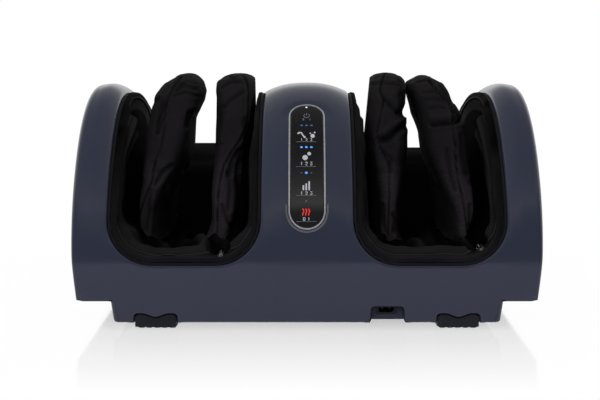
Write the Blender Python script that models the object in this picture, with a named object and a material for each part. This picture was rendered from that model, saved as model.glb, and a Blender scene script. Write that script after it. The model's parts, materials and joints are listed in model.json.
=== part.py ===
# Twin-well kneading foot massager, built as separate pieces.
# Shapes are worked out in millimetres and stored in metres. +Z is up, the front faces -Y,
# and the origin is under the middle of the machine, on the surface it stands on.
import math

import bmesh
import bpy
from mathutils import Matrix, Vector

MM = 0.001

# ---------------------------------------------------------------- driving dimensions (mm)
WIDTH = 440.0            # across the two cheeks
DEPTH = 400.0            # front shoulder to back wall
CREASE_Z = 66.0          # soft crease across the front, and the lip of the wells
ARC_R = 160.0            # front arc above the crease
BACK_A, BACK_B, BACK_Z = 240.0, 136.0, 90.0   # quarter ellipse behind the crest
SKIRT_Z = 7.6            # lower edge of the skirt
OVERHANG_Z = 28.4        # underside of the side overhangs (hand-holds)
SKIRT_X = 182.6          # half width of the skirt at the overhang
DRAFT = math.tan(math.radians(5.0))
WALL = 3.0
CROWN = 10.0             # how far the strips fall away beside the wells
GAP = 0.3

WELL_IN, WELL_OUT = 43.8, 186.4   # |X| of the edges of a well
WELL_R = 42.0            # its lower corners, seen from the front
WELL_FLOOR = 58.0
TUB_WALL = 2.5
LINER_T = 2.5

SHAFT_Z = 46.0
SHAFT_R = 6.0
WOBBLE = math.radians(3.5)        # tilt of the oblique hubs
HUB_R, HUB_L = 17.0, 16.0
BEARING_R = 24.5
BOSS_R = 30.5
PADDLES = {              # side, |X| of the hub, lean of the upper part towards the foot, phase
    "left_outer": (-1, 158.0, -18.0, 0.0),
    "left_inner": (-1, 82.0, -3.0, 45.0),
    "right_inner": (1, 82.0, -3.0, -60.0),
    "right_outer": (1, 158.0, -18.0, 180.0),
}
LEVER = 187.0            # from the shaft to the top of a paddle

TEETH = 26
WORM_PITCH = 7.0
WHEEL_TIP, WHEEL_ROOT = 31.0, 27.0
WORM_MID, WORM_AMP = 7.0, 2.0
MOTOR_Z = SHAFT_Z + 38.5

PANEL_B0, PANEL_B1 = 11.0, 62.0   # the control panel's ends along the front arc, degrees
PANEL_W = 35.0

FOOT_X = 142.4
INLET_X = 75.6
STAND_Y, STAND_Z = 122.0, 10.9    # pivot of the fold-out stand


def front(yf):
    """Distance behind the front shoulder to Y."""
    return yf - DEPTH / 2


# ---------------------------------------------------------------- materials and objects
def material(name, rgb, rough, metal=0.0):
    mat = bpy.data.materials.new(name)
    mat.use_nodes = True
    shader = mat.node_tree.nodes["Principled BSDF"]
    shader.inputs["Base Color"].default_value = (*rgb, 1.0)
    shader.inputs["Roughness"].default_value = rough
    shader.inputs["Metallic"].default_value = metal
    mat.diffuse_color = (*rgb, 1.0)
    return mat


for old in list(bpy.data.objects):
    bpy.data.objects.remove(old, do_unlink=True)

GRAPHITE = (0.035, 0.039, 0.055)
FABRIC = (0.010, 0.0095, 0.010)
LOOKS = {
    "shell": (GRAPHITE, 0.22, 0.0),
    "tub": ((0.03, 0.03, 0.032), 0.5, 0.0),
    "fabric": (FABRIC, 0.9, 0.0),
    "nylon": ((0.55, 0.55, 0.53), 0.45, 0.0),
    "steel": ((0.55, 0.56, 0.58), 0.3, 1.0),
    "zinc": ((0.45, 0.46, 0.48), 0.35, 1.0),
    "brass": ((0.7, 0.5, 0.2), 0.3, 1.0),
    "rubber": ((0.012, 0.012, 0.014), 0.85, 0.0),
    "glass": ((0.012, 0.012, 0.014), 0.08, 0.0),
    "chrome": ((0.6, 0.61, 0.63), 0.15, 1.0),
    "board": ((0.02, 0.16, 0.06), 0.4, 0.0),
    "plastic": ((0.025, 0.025, 0.028), 0.45, 0.0),
    "silicone": ((0.45, 0.12, 0.03), 0.6, 0.0),
}


def build(name, shape, look, at=(0, 0, 0), smooth=True, bevel=0.0, turn=None):
    """An object from (verts, faces) given in mm about the point at."""
    verts, faces = shape
    mesh = bpy.data.meshes.new(name)
    mesh.from_pydata([Vector(v) * MM for v in verts], [], faces)
    bm = bmesh.new()
    bm.from_mesh(mesh)
    bmesh.ops.remove_doubles(bm, verts=bm.verts, dist=1e-7)
    bmesh.ops.recalc_face_normals(bm, faces=bm.faces)
    bm.to_mesh(mesh)
    bm.free()
    obj = bpy.data.objects.new(name, mesh)
    bpy.context.scene.collection.objects.link(obj)
    obj.location = Vector(at) * MM
    if turn is not None:
        obj.rotation_mode = "QUATERNION"
        obj.rotation_quaternion = turn
    if look:
        mesh.materials.append(material(name, *LOOKS[look]))
    if smooth:
        mesh.shade_smooth()
        mesh.set_sharp_from_angle(angle=math.radians(35))
    if bevel:
        mod = obj.modifiers.new("edges", "BEVEL")
        mod.width = bevel * MM
        mod.segments = 2
        mod.limit_method = "ANGLE"
    return obj


def helper(name, shape, at=(0, 0, 0), turn=None):
    obj = build(name, shape, None, at, False, 0.0, turn)
    obj.hide_render = True
    obj.display_type = "WIRE"
    return obj


def boolean(obj, other, how="DIFFERENCE"):
    mod = obj.modifiers.new(how.lower(), "BOOLEAN")
    mod.operation = how
    mod.object = other
    mod.solver = "EXACT"
    return obj


def inside(obj, frame):
    """A helper whose points are given in another object's own frame."""
    obj.parent = frame
    return obj


def joint_empty(name, at, axis, parent=None):
    empty = bpy.data.objects.new(name, None)
    bpy.context.scene.collection.objects.link(empty)
    empty.empty_display_size = 0.02
    place = Matrix.Translation(Vector(at) * MM) @ Vector((0, 0, 1)).rotation_difference(Vector(axis)).to_matrix().to_4x4()
    empty.matrix_world = place
    EMPTY_AT[empty.name] = place
    if parent:
        empty.parent = parent
        empty.matrix_parent_inverse = EMPTY_AT[parent.name].inverted()
    return empty


EMPTY_AT = {}


def carry(empty, *objs):
    for obj in objs:
        obj.parent = empty
        obj.matrix_parent_inverse = EMPTY_AT[empty.name].inverted()


# ---------------------------------------------------------------- shape makers
def box(x0, x1, y0, y1, z0, z1):
    v = [(x, y, z) for x in (x0, x1) for y in (y0, y1) for z in (z0, z1)]
    f = [(0, 1, 3, 2), (4, 6, 7, 5), (0, 4, 5, 1), (2, 3, 7, 6), (0, 2, 6, 4), (1, 5, 7, 3)]
    return v, f


def loft(rings):
    """Closed solid through rings of equal length, with flat ends."""
    n = len(rings[0])
    verts = [p for ring in rings for p in ring]
    faces = [tuple(range(n)), tuple(reversed(range(n * (len(rings) - 1), n * len(rings))))]
    for i in range(len(rings) - 1):
        for j in range(n):
            k = (j + 1) % n
            faces.append((i * n + j, i * n + k, (i + 1) * n + k, (i + 1) * n + j))
    return verts, faces


def prism(outline, axis, a, b):
    def put(u, v, w):
        return {"x": (w, u, v), "y": (u, w, v), "z": (u, v, w)}[axis]
    return loft([[put(u, v, a) for u, v in outline], [put(u, v, b) for u, v in outline]])


def circle(u, v, r, seg=32, start=0.0):
    return [(u + r * math.cos(start + 2 * math.pi * i / seg), v + r * math.sin(start + 2 * math.pi * i / seg)) for i in range(seg)]


def rod(axis, u, v, r, a, b, seg=32):
    return prism(circle(u, v, r, seg), axis, a, b)


def turned(profile, axis, seg=32, closed=True):
    """A closed outline of (radius, height) turned about an axis through the origin."""
    def put(r, t, h):
        c, s = r * math.cos(t), r * math.sin(t)
        return {"x": (h, c, s), "y": (c, h, s), "z": (c, s, h)}[axis]
    n = len(profile)
    verts = [put(r, 2 * math.pi * i / seg, h) for i in range(seg) for r, h in profile]
    faces = []
    for i in range(seg):
        k = (i + 1) % seg
        for j in range(n):
            m = (j + 1) % n
            faces.append((i * n + j, i * n + m, k * n + m, k * n + j))
    return verts, faces


def ring(axis, r_in, r_out, a, b, seg=32):
    return turned([(r_in, a), (r_out, a), (r_out, b), (r_in, b)], axis, seg)


def smoothstep(t):
    t = max(0.0, min(1.0, t))
    return t * t * (3 - 2 * t)


# ---------------------------------------------------------------- the housing's surface
def profile_points(fine=1):
    """(distance behind the front, height, outward normal) from the lower front edge over the crest to the lower back edge."""
    pts = []
    for z in (SKIRT_Z, OVERHANG_Z, 48.0):
        pts.append((((CREASE_Z - z) * DRAFT), z))
    for i in range(11 * fine + 1):
        b = math.radians(90.0 * i / (11 * fine))
        pts.append((ARC_R - ARC_R * math.cos(b), CREASE_Z + ARC_R * math.sin(b)))
    for i in range(1, 9 * fine + 1):
        b = math.radians(90.0 * i / (9 * fine))
        pts.append((ARC_R + BACK_A * math.sin(b), BACK_Z + BACK_B * math.cos(b)))
    pts.append((DEPTH, CREASE_Z))
    for z in (48.0, OVERHANG_Z, SKIRT_Z):
        pts.append((DEPTH - (CREASE_Z - z) * DRAFT, z))
    out = []
    for i, (y, z) in enumerate(pts):
        y0, z0 = pts[max(i - 1, 0)]
        y1, z1 = pts[min(i + 1, len(pts) - 1)]
        d = math.hypot(y1 - y0, z1 - z0)
        out.append((y, z, -(z1 - z0) / d, (y1 - y0) / d))
    return out


def crown(x, z):
    """How far the surface lies under the profile at this |X| and height."""
    x = abs(x)
    w = smoothstep((z - CREASE_Z) / 114.0)
    r = 5.0 + 11.0 * w
    edge = WIDTH / 2 - r
    if x <= WELL_IN:
        c = CROWN * w * (x / WELL_IN) ** 2.4
    elif x <= WELL_OUT:
        c = CROWN * w
    elif x <= edge:
        c = CROWN * w * ((edge - x) / (edge - WELL_OUT)) ** 2
    else:
        c = r - math.sqrt(max(r * r - min(x - edge, r) ** 2, 0.0))
    return c


STATIONS = [0.0, 16.0, 31.0, WELL_IN, WELL_OUT, 195.0, 204.0, 211.0, 216.0, 219.0, 220.0]


def housing_body(sink, bottom=SKIRT_Z):
    """The closed outer form, sunk by this much all over."""
    rings = []
    xs = [-x for x in reversed(STATIONS[1:])] + STATIONS
    for x in xs:
        ring_pts = []
        for y, z, ny, nz in profile_points():
            d = crown(x, z) + sink
            ring_pts.append((x * (1 - sink / (WIDTH / 2)), front(y - ny * d), z - nz * d))
        ring_pts[0] = (ring_pts[0][0], ring_pts[0][1], bottom)
        ring_pts[-1] = (ring_pts[-1][0], ring_pts[-1][1], bottom)
        rings.append(ring_pts)
    return loft(rings)


def handhold(side, grow=0.0):
    outline = [(SKIRT_X - grow, OVERHANG_Z + grow), (240.0, OVERHANG_Z + grow), (240.0, -20.0), (176.9 - grow, -20.0)]
    return prism([(side * x, z) for x, z in outline], "y", front(-30), front(DEPTH + 30))


def well_floor(yf):
    """Height of a well's floor along its length."""
    if yf <= 60.0:
        return WELL_FLOOR + (CREASE_Z - WELL_FLOOR) * (1 - smoothstep(yf / 60.0))
    if yf <= 290.0:
        return WELL_FLOOR
    t = (yf - 290.0) / 94.0
    return WELL_FLOOR + 82.0 * (0.25 * t + 0.75 * t ** 2.2)


def well_body(side, grow):
    """The space of a well, grown by this much beyond its inner face."""
    rings = []
    for yf in (-12.0, 0.0, 20.0, 40.0, 60.0, 290.0, 318.0, 342.0, 364.0, 386.0, 412.0):
        base = well_floor(yf) - grow
        x0, x1 = WELL_IN + TUB_WALL - grow, WELL_OUT - TUB_WALL + grow
        r = WELL_R - TUB_WALL + grow
        section = [(x0, 262.0)]
        for i in range(6):
            a = math.pi + math.pi / 2 * i / 5
            section.append((x0 + r + r * math.cos(a), base + r + r * math.sin(a)))
        for i in range(6):
            a = 1.5 * math.pi + math.pi / 2 * i / 5
            section.append((x1 - r + r * math.cos(a), base + r + r * math.sin(a)))
        section.append((x1, 262.0))
        rings.append([(side * x, front(yf), z) for x, z in section])
    return loft(rings)


def on_arc(b, x, lift):
    """A point over the front arc, lifted off the crowned surface."""
    z = CREASE_Z + ARC_R * math.sin(b)
    r = ARC_R - crown(x, z) + lift
    return (x, front(ARC_R - r * math.cos(b)), CREASE_Z + r * math.sin(b))


def arc_pad(width, low, high, trim=0.0):
    """A stadium-shaped plate that follows the front arc."""
    r = width / 2
    s0, s1 = math.radians(PANEL_B0) * ARC_R + trim, math.radians(PANEL_B1) * ARC_R - trim
    rows = []
    for i in range(6):
        rows.append(r - r * math.cos(math.pi / 2 * i / 5))
    stations = [(s0 + d, d) for d in rows]
    n = 6
    for i in range(1, n):
        stations.append((s0 + r + (s1 - s0 - 2 * r) * i / n, r))
    stations += [(s1 - d, d) for d in reversed(rows)]
    across = 4
    tops, bottoms = [], []
    for s, d in stations:
        half = max(math.sqrt(max(r * r - (r - d) ** 2, 0.0)), r * 0.16)
        b = s / ARC_R
        tops.append([on_arc(b, -half + 2 * half * j / across, high) for j in range(across + 1)])
        bottoms.append([on_arc(b, -half + 2 * half * j / across, low) for j in range(across + 1)])
    return loft([t + list(reversed(bt)) for t, bt in zip(tops, bottoms)])


# ---------------------------------------------------------------- casing
housing = build("upper_housing", housing_body(0.0), "shell")
hollow = helper("cut_housing_hollow", housing_body(WALL, -15.0))
for side, tag in ((-1, "left"), (1, "right")):
    boolean(hollow, helper(f"cut_{tag}_handhold_wall", handhold(side, WALL)))
boolean(housing, hollow)
for side, tag in ((-1, "left"), (1, "right")):
    boolean(housing, helper(f"cut_{tag}_handhold", handhold(side)))
boolean(housing, helper("inlet_pocket", box(INLET_X - 18.2, INLET_X + 18.2, front(6.5), front(23.0), SKIRT_Z, 27.0)), "UNION")
notch = [(-17.0, -5.0), (17.0, -5.0), (17.0, 8.6), (15.4, 11.0), (15.25, 20.5), (13.0, 23.0), (-13.0, 23.0), (-15.25, 20.5), (-15.4, 11.0), (-17.0, 8.6)]
boolean(housing, helper("cut_inlet_notch", prism([(INLET_X + x, z) for x, z in notch], "y", front(-20), front(20.0))))
boolean(housing, helper("cut_inlet_window", box(INLET_X - 9.6, INLET_X + 9.6, front(15), front(30), 12.9, 22.6)))
for side, tag in ((-1, "left"), (1, "right")):
    boolean(housing, helper(f"cut_{tag}_well_opening", well_body(side, TUB_WALL + GAP)))
foot_notch = [(-20.6, -5.0), (20.6, -5.0), (20.6, 14.5), (18.5, 16.6), (8.0, 16.6), (4.0, 12.4), (-4.0, 12.4), (-8.0, 16.6), (-18.5, 16.6), (-20.6, 14.5)]
for side, tag in ((-1, "left"), (1, "right")):
    boolean(housing, helper(f"cut_{tag}_foot_notch", prism([(side * FOOT_X + x, z) for x, z in foot_notch], "y", front(-20), front(14.0))))
boolean(housing, helper("cut_panel_window", arc_pad(PANEL_W + 0.6, -8.0, 8.0, -0.3)))

# Bottom pan: a tray with a raised recess for the stand.
pan_x = 176.4
pan = build("base_pan", box(-pan_x, pan_x, front(8.9), front(391.1), SKIRT_Z, 13.0), "tub", smooth=False)
boolean(pan, helper("cut_pan_inside", box(-pan_x + 2.5, pan_x - 2.5, front(11.4), front(388.6), SKIRT_Z + 3.0, 40.0)))
boolean(pan, helper("pan_hump", box(-121.0, 121.0, 108.0, 184.0, SKIRT_Z + 1.5, 19.0)), "UNION")
boolean(pan, helper("cut_pan_recess", box(-118.5, 118.5, 110.5, 181.5, -5.0, 16.4)))
boolean(pan, helper("cut_pan_inlet", box(INLET_X - 19.0, INLET_X + 19.0, front(0.0), front(23.6), -5.0, 40.0)))

# Wells: a moulded tub each, with a slot for each paddle, and a fabric liner over it.
for side, tag in ((-1, "left"), (1, "right")):
    tub = build(f"{tag}_well_tub", well_body(side, TUB_WALL), "tub")
    boolean(tub, helper(f"cut_{tag}_tub_inside", well_body(side, 0.0)))
    boolean(tub, helper(f"trim_{tag}_tub", housing_body(0.5)), "INTERSECT")
    liner = build(f"{tag}_well_liner", well_body(side, -GAP), "fabric")
    boolean(liner, helper(f"cut_{tag}_liner_inside", well_body(side, -GAP - LINER_T)))
    boolean(liner, helper(f"trim_{tag}_liner", housing_body(1.0)), "INTERSECT")
    for x in (82.0, 158.0):
        boolean(tub, helper(f"cut_{tag}_tub_slot_{x:.0f}", box(side * x - 14.0, side * x + 14.0, -50.0, 50.0, 40.0, 74.0)))
        boolean(liner, helper(f"cut_{tag}_liner_slot_{x:.0f}", box(side * x - 15.5, side * x + 15.5, -54.0, 54.0, 40.0, 78.0)))
    a, b = sorted((side * 98.5, side * 141.5))
    build(f"{tag}_heater_pad", box(a, b, -118.0, -12.0, 53.4, 55.0), "silicone", smooth=False)

# Rubber feet: the front pair wraps up over the skirt, the rear pair is flat.
sole = [(-20.0, 0.9)]
for i in range(5):
    c = -15.0 + 7.5 * i
    sole += [(c - 2.9, 0.0), (c + 2.9, 0.0)]
    if i < 4:
        sole += [(c + 3.1, 2.2), (c + 4.4, 2.2)]
sole += [(20.0, 0.9)]
for side, tag in ((-1, "left"), (1, "right")):
    x = side * FOOT_X
    foot = build(f"{tag}_front_foot", prism([(x + u, v) for u, v in sole + [(20.0, 7.3), (-20.0, 7.3)]], "y", front(3.2), front(46.0)), "rubber", smooth=False)
    top = [(-20.0, 3.0), (20.0, 3.0), (20.0, 14.2), (18.2, 16.2), (8.4, 16.2), (4.3, 11.8), (-4.3, 11.8), (-8.4, 16.2), (-18.2, 16.2), (-20.0, 14.2)]
    boolean(foot, helper(f"{tag}_foot_rise", prism([(x + u, v) for u, v in top], "y", front(2.6), front(8.4))), "UNION")
    build(f"{tag}_rear_foot", box(x - 18.0, x + 18.0, front(344.0), front(376.0), 0.0, SKIRT_Z - GAP), "rubber", smooth=False, bevel=1.5)

# Control panel: bezel ring, glass, and the board behind it.
bezel = build("panel_bezel", arc_pad(PANEL_W, -3.4, 1.2), "chrome")
boolean(bezel, helper("cut_bezel", arc_pad(PANEL_W - 3.4, -12.0, 12.0, 1.7)))
build("panel_glass", arc_pad(PANEL_W - 4.0, -2.6, 0.9, 2.0), "glass")
mid_b = math.radians((PANEL_B0 + PANEL_B1) / 2)
half_b = math.radians((PANEL_B1 - PANEL_B0) / 2)
depth_r = ARC_R * math.cos(half_b) - 5.0
board_at = (0.0, front(ARC_R - depth_r * math.cos(mid_b)), CREASE_Z + depth_r * math.sin(mid_b))
board = build("control_board", box(-14.0, 14.0, -0.8, 0.8, -48.0, 48.0), "board", board_at, smooth=False)
board.rotation_euler = (-mid_b, 0.0, 0.0)
boolean(board, inside(helper("board_chip", box(-8.0, 8.0, 0.2, 3.2, -6.0, 10.0)), board), "UNION")
boolean(board, inside(helper("board_plug", box(-7.0, 7.0, 0.2, 6.5, -46.0, -40.0)), board), "UNION")

# Power board and inlet.
power = build("power_board", box(-82.0, 14.0, front(34.0), front(98.0), 15.0, 16.6), "board", smooth=False)
for n, b in enumerate((box(-76, -50, front(44), front(70), 16, 40), box(-42, -26, front(42), front(54), 16, 30), box(-14, 4, front(44), front(66), 16, 32), box(-40, -18, front(74), front(92), 16, 27))):
    boolean(power, helper(f"power_part_{n}", b), "UNION")
for n, (px, py) in enumerate(((-78.0, 38.0), (-78.0, 94.0), (10.0, 38.0), (10.0, 94.0))):
    boolean(power, helper(f"power_post_{n}", rod("z", px, front(py), 3.0, SKIRT_Z + 3.0 + GAP, 15.6, 12)), "UNION")
inlet = build("power_inlet", box(INLET_X - 9.2, INLET_X + 9.2, front(20.2), front(42.0), 13.3, 22.2), "plastic", smooth=False)
boolean(inlet, helper("inlet_flange", box(INLET_X - 12.5, INLET_X + 12.5, front(23.4), front(26.0), 11.4, 24.2)), "UNION")
pill = [(INLET_X - 7.4, 14.2)] + [(INLET_X + 3.6 + 3.8 * math.cos(t), 18.0 + 3.8 * math.sin(t)) for t in [math.radians(a) for a in range(-90, 91, 20)]] + [(INLET_X - 7.4, 21.8)]
boolean(inlet, helper("cut_inlet_socket", prism(pill, "y", front(10.0), front(38.0))))
for n, dx in enumerate((-3.9, 3.2)):
    boolean(inlet, helper(f"inlet_pin_{n}", rod("y", INLET_X + dx, 18.0, 1.2, front(23.0), front(40.0), 10)), "UNION")

# ---------------------------------------------------------------- chassis and shaft supports
chassis = build("chassis_plate", box(-172.0, 172.0, -68.0, 62.0, 11.0, 13.0), "zinc", smooth=False)
boolean(chassis, helper("cut_chassis_gearbox", box(-15.5, 15.5, -37.0, 37.0, 5.0, 20.0)))
for side, tag in ((-1, "left"), (1, "right")):
    arch = [(-13.0, 13.3), (13.0, 13.3)] + [(13.0 * math.cos(t), SHAFT_Z + 13.0 * math.sin(t)) for t in [math.pi * i / 12 for i in range(13)]]
    a, b = sorted((side * 168.6, side * 175.1))
    block = build(f"{tag}_bearing_block", prism(arch, "x", a, b), "zinc")
    boolean(block, helper(f"cut_{tag}_block_bore", rod("x", 0.0, SHAFT_Z, 11.3, -200, 200, 24)))
    boolean(block, helper(f"{tag}_block_foot", box(a, b, -24.0, 24.0, 13.3, 16.5)), "UNION")
    build(f"{tag}_shaft_bearing", ring("x", SHAFT_R + GAP, 11.0, -3.3, 3.3, 24), "steel", (side * 171.85, 0.0, SHAFT_Z))

# ---------------------------------------------------------------- drive
shaft_joint = joint_empty("shaft_spin_axis", (0, 0, SHAFT_Z), (1, 0, 0))
rotor_joint = joint_empty("rotor_spin_axis", (0, 0, MOTOR_Z), (0, 1, 0))

shaft = build("drive_shaft", turned([(0.8, -180.0), (5.4, -180.0), (SHAFT_R, -179.2), (SHAFT_R, 179.2), (5.4, 180.0), (0.8, 180.0)], "x", 24), "steel", (0, 0, SHAFT_Z))
gear = []
for i in range(TEETH):
    a = math.pi / 2 + 2 * math.pi * i / TEETH
    for half, r in ((1.9, WHEEL_ROOT), (0.8, WHEEL_TIP), (-0.8, WHEEL_TIP), (-1.9, WHEEL_ROOT)):
        t = a - half / r
        gear.append((r * math.cos(t), r * math.sin(t)))
wheel = build("worm_wheel", prism(gear, "x", -5.0, 5.0), "nylon", (0, 0, SHAFT_Z))
boolean(wheel, inside(helper("cut_wheel_bore", rod("x", 0, 0, SHAFT_R + GAP, -20, 20)), wheel))
carry(shaft_joint, shaft, wheel)

# Rotor: armature, shaft and worm in one piece.
n_turn, per = 12, 6
rows = int(5 * per)
worm_v, worm_f = [], []
stations = [(-106.5, 2.5), (-94.3, 2.5), (-94.0, 15.0), (-48.3, 15.0), (-48.0, 2.5), (-19.0, 2.5)]
y_start = -0.5 * rows * WORM_PITCH / per
for k in range(rows + 1):
    stations.append((y_start + k * WORM_PITCH / per, None))
stations += [(19.0, 2.5), (34.0, 2.5)]
for y, r in stations:
    for i in range(n_turn):
        t = 2 * math.pi * i / n_turn
        rr = r
        if r is None:
            ends = smoothstep((y - y_start) / 3.0) * smoothstep((-y_start - y) / 3.0)
            wave = math.cos(2 * math.pi * y / WORM_PITCH - (t + math.pi / 2) + math.pi)
            rr = WORM_MID + WORM_AMP * (wave * ends - (1 - ends))
        worm_v.append((rr * math.cos(t), y, rr * math.sin(t)))
for k in range(len(stations) - 1):
    for i in range(n_turn):
        j = (i + 1) % n_turn
        worm_f.append((k * n_turn + i, k * n_turn + j, (k + 1) * n_turn + j, (k + 1) * n_turn + i))
worm_f += [tuple(range(n_turn)), tuple(reversed(range((len(stations) - 1) * n_turn, len(stations) * n_turn)))]
rotor = build("motor_rotor", (worm_v, worm_f), "steel", (0, 0, MOTOR_Z))
carry(rotor_joint, rotor)

build("motor_can", turned([(3.0, -38.0), (19.0, -38.0), (20.0, -39.0), (20.0, -100.0), (17.6, -100.0), (17.6, -40.5), (3.0, -40.5)], "y", 28), "steel", (0, 0, MOTOR_Z))
build("motor_end_cap", turned([(3.0, -100.3), (20.0, -100.3), (20.0, -103.0), (9.0, -104.0), (8.0, -109.0), (3.0, -109.0)], "y", 28), "plastic", (0, 0, MOTOR_Z))


def gearbox_outline(r, top):
    pts = [(r * math.cos(t), SHAFT_Z + r * math.sin(t)) for t in [math.pi + math.pi * i / 16 for i in range(17)]]
    return pts + [(r, top - 6.0), (r - 6.0, top), (-r + 6.0, top), (-r, top - 6.0)]


for name, a, b, c, d in (("gearbox_housing", -13.0, -0.15, -10.5, 5.0), ("gearbox_cover", 0.15, 13.0, -5.0, 10.5)):
    half = build(name, prism(gearbox_outline(34.8, 98.5), "x", a, b), "plastic")
    boolean(half, helper(f"cut_{name}_inside", prism(gearbox_outline(32.2, 95.8), "x", c, d)))
    boolean(half, helper(f"{name}_flange", box(a, b, -60.0, -17.0, 13.3, 17.0)), "UNION")
    boolean(half, helper(f"{name}_flange_back", box(a, b, 17.0, 56.0, 13.3, 17.0)), "UNION")
    boolean(half, helper(f"cut_{name}_shaft", rod("x", 0.0, SHAFT_Z, SHAFT_R + 0.5, -30, 30)))
    boolean(half, helper(f"cut_{name}_worm", rod("y", 0.0, MOTOR_Z, 3.2, -60, 60, 20)))

# ---------------------------------------------------------------- paddles
def superellipse(cy, cz, ry, rz, n, seg, low=None):
    pts = []
    for i in range(seg):
        t = 2 * math.pi * i / seg
        c, s = math.cos(t), math.sin(t)
        pts.append((cy + ry * math.copysign(abs(c) ** (2 / n), c), cz + rz * math.copysign(abs(s) ** (2 / n), s)))
    return pts


PAD_CZ = 110.0           # middle of a paddle's blade above the shaft


def lean(lift, v):
    """Shears the blade so that its top stands this far to one side."""
    x, y, z = v
    return (x + lift * max(z - 20.0, 0.0) / (LEVER - 20.0), y, z)


def blade(lift, ry, rz, x0, x1, seg=24):
    pts = superellipse(0.0, PAD_CZ, ry, rz, 2.4, seg)
    verts, faces = prism(pts, "x", x0, x1)
    return [lean(lift, v) for v in verts], faces


def cushion(lift, ry, rz, thick, shift=0.0, seg=22, rows=4):
    """A lens-shaped pad about the blade."""
    verts, faces = [], []
    for face in (1, -1):
        verts.append(lean(lift, (shift + face * thick, 0.0, PAD_CZ)))
        for k in range(1, rows + 1):
            f = math.sin(math.pi / 2 * k / rows)
            h = thick * math.cos(math.pi / 2 * k / rows) ** 0.6 if k < rows else 0.0
            for y, z in superellipse(0.0, 0.0, ry * f, rz * f, 2.4, seg):
                if face == 1 or k < rows:
                    verts.append(lean(lift, (shift + face * h, y, PAD_CZ + z)))
    first = {1: 0, -1: 1 + rows * seg}
    def vid(face, k, i):
        i %= seg
        if k == rows:
            return 1 + (rows - 1) * seg + i
        return first[face] + 1 + (k - 1) * seg + i
    for face in (1, -1):
        for i in range(seg):
            faces.append((first[face], vid(face, 1, i), vid(face, 1, i + 1)))
            for k in range(1, rows):
                faces.append((vid(face, k, i), vid(face, k + 1, i), vid(face, k + 1, i + 1), vid(face, k, i + 1)))
    return verts, faces


for tag, (side, hub_x, lift, phase) in PADDLES.items():
    # The hub's axis leans by WOBBLE from the shaft; phase 0 leans the blade's top to +X.
    p = math.radians(phase)
    axis = Vector((math.cos(WOBBLE), math.sin(WOBBLE) * math.sin(p), -math.sin(WOBBLE) * math.cos(p)))
    turn = Vector((1, 0, 0)).rotation_difference(axis)
    at = (side * hub_x, 0.0, SHAFT_Z)
    paddle_joint = joint_empty(f"{tag}_wobble_axis", at, axis, shaft_joint)
    top = lift * side            # towards the foot for an outer blade
    foot_side = -side if "outer" in tag else side

    hub = build(f"{tag}_hub", rod("x", 0, 0, HUB_R, -HUB_L / 2, HUB_L / 2, 24), "zinc", at, turn=turn)
    boolean(hub, helper(f"cut_{tag}_hub_bore", rod("x", 0, 0, SHAFT_R + GAP, -20, 20, 20), at))
    bearing = build(f"{tag}_bearing", ring("x", HUB_R + GAP, BEARING_R, -5.5, 5.5, 24), "steel", at, turn=turn)

    paddle = build(f"{tag}_paddle", blade(top, 95.0, 68.0, -4.5, 4.5), "nylon", at, turn=turn)
    boss = inside(helper(f"{tag}_boss", rod("x", 0, 0, BOSS_R, -8.0, 8.0, 24)), paddle)
    neck_v, neck_f = prism([(-30.0, 4.0), (30.0, 4.0), (34.0, 30.0), (52.0, 66.0), (-52.0, 66.0), (-34.0, 30.0)], "x", -5.5, 5.5)
    neck = inside(helper(f"{tag}_neck", ([lean(top, v) for v in neck_v], neck_f)), paddle)
    boolean(paddle, neck, "UNION")
    boolean(paddle, boss, "UNION")
    boolean(paddle, inside(helper(f"{tag}_peg", rod("y", 0, 0, 3.0, -53.0, -27.0, 16)), paddle), "UNION")
    for n, (y, z, r) in enumerate(((-52, 84, 12), (2, 78, 13), (54, 88, 12), (-30, 126, 13), (32, 128, 13), (0, 160, 11))):
        v, f = loft([[(x, k * r * math.cos(t), k * r * math.sin(t)) for t in [2 * math.pi * i / 10 for i in range(10)]] for x, k in ((-1.0, 1.0), (4.6, 0.82), (7.2, 0.4))])
        v = [lean(top, (foot_side * (x + 3.9), y + b, z + c)) for x, b, c in v]
        boolean(paddle, inside(helper(f"{tag}_stud_{n}", (v, f)), paddle), "UNION")
    boolean(paddle, inside(helper(f"cut_{tag}_bearing_seat", rod("x", 0, 0, BEARING_R + GAP, -20, 20, 24)), paddle))

    cover = build(f"{tag}_cover", cushion(top, 110.0, 80.0, 17.0, foot_side * 2.0), "fabric", at, turn=turn)
    boolean(cover, inside(helper(f"cut_{tag}_cover_pocket", blade(top, 97.0, 70.0, -5.5, 5.5)), cover))
    a, b = sorted((foot_side * 3.0, foot_side * 12.6))
    boolean(cover, inside(helper(f"cut_{tag}_cover_studs", blade(top, 82.0, 63.0, a, b)), cover))
    throat_v, throat_f = prism([(-40.0, 10.0), (40.0, 10.0), (60.0, 70.0), (-60.0, 70.0)], "x", -7.0, 7.0)
    boolean(cover, inside(helper(f"cut_{tag}_cover_throat", ([lean(top, v) for v in throat_v], throat_f)), cover))
    carry(shaft_joint, hub)
    carry(paddle_joint, bearing, paddle, cover)

    # Fork on the chassis that keeps the paddle from turning with the shaft.
    x = side * hub_x
    fork = build(f"{tag}_guide_fork", box(x - 9.0, x + 9.0, -64.0, -46.0, 13.3, 54.4), "nylon", smooth=False)
    boolean(fork, helper(f"cut_{tag}_fork_slot", box(x - 20.0, x + 20.0, -59.0, -40.0, SHAFT_Z - 3.7, SHAFT_Z + 3.7)))

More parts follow.
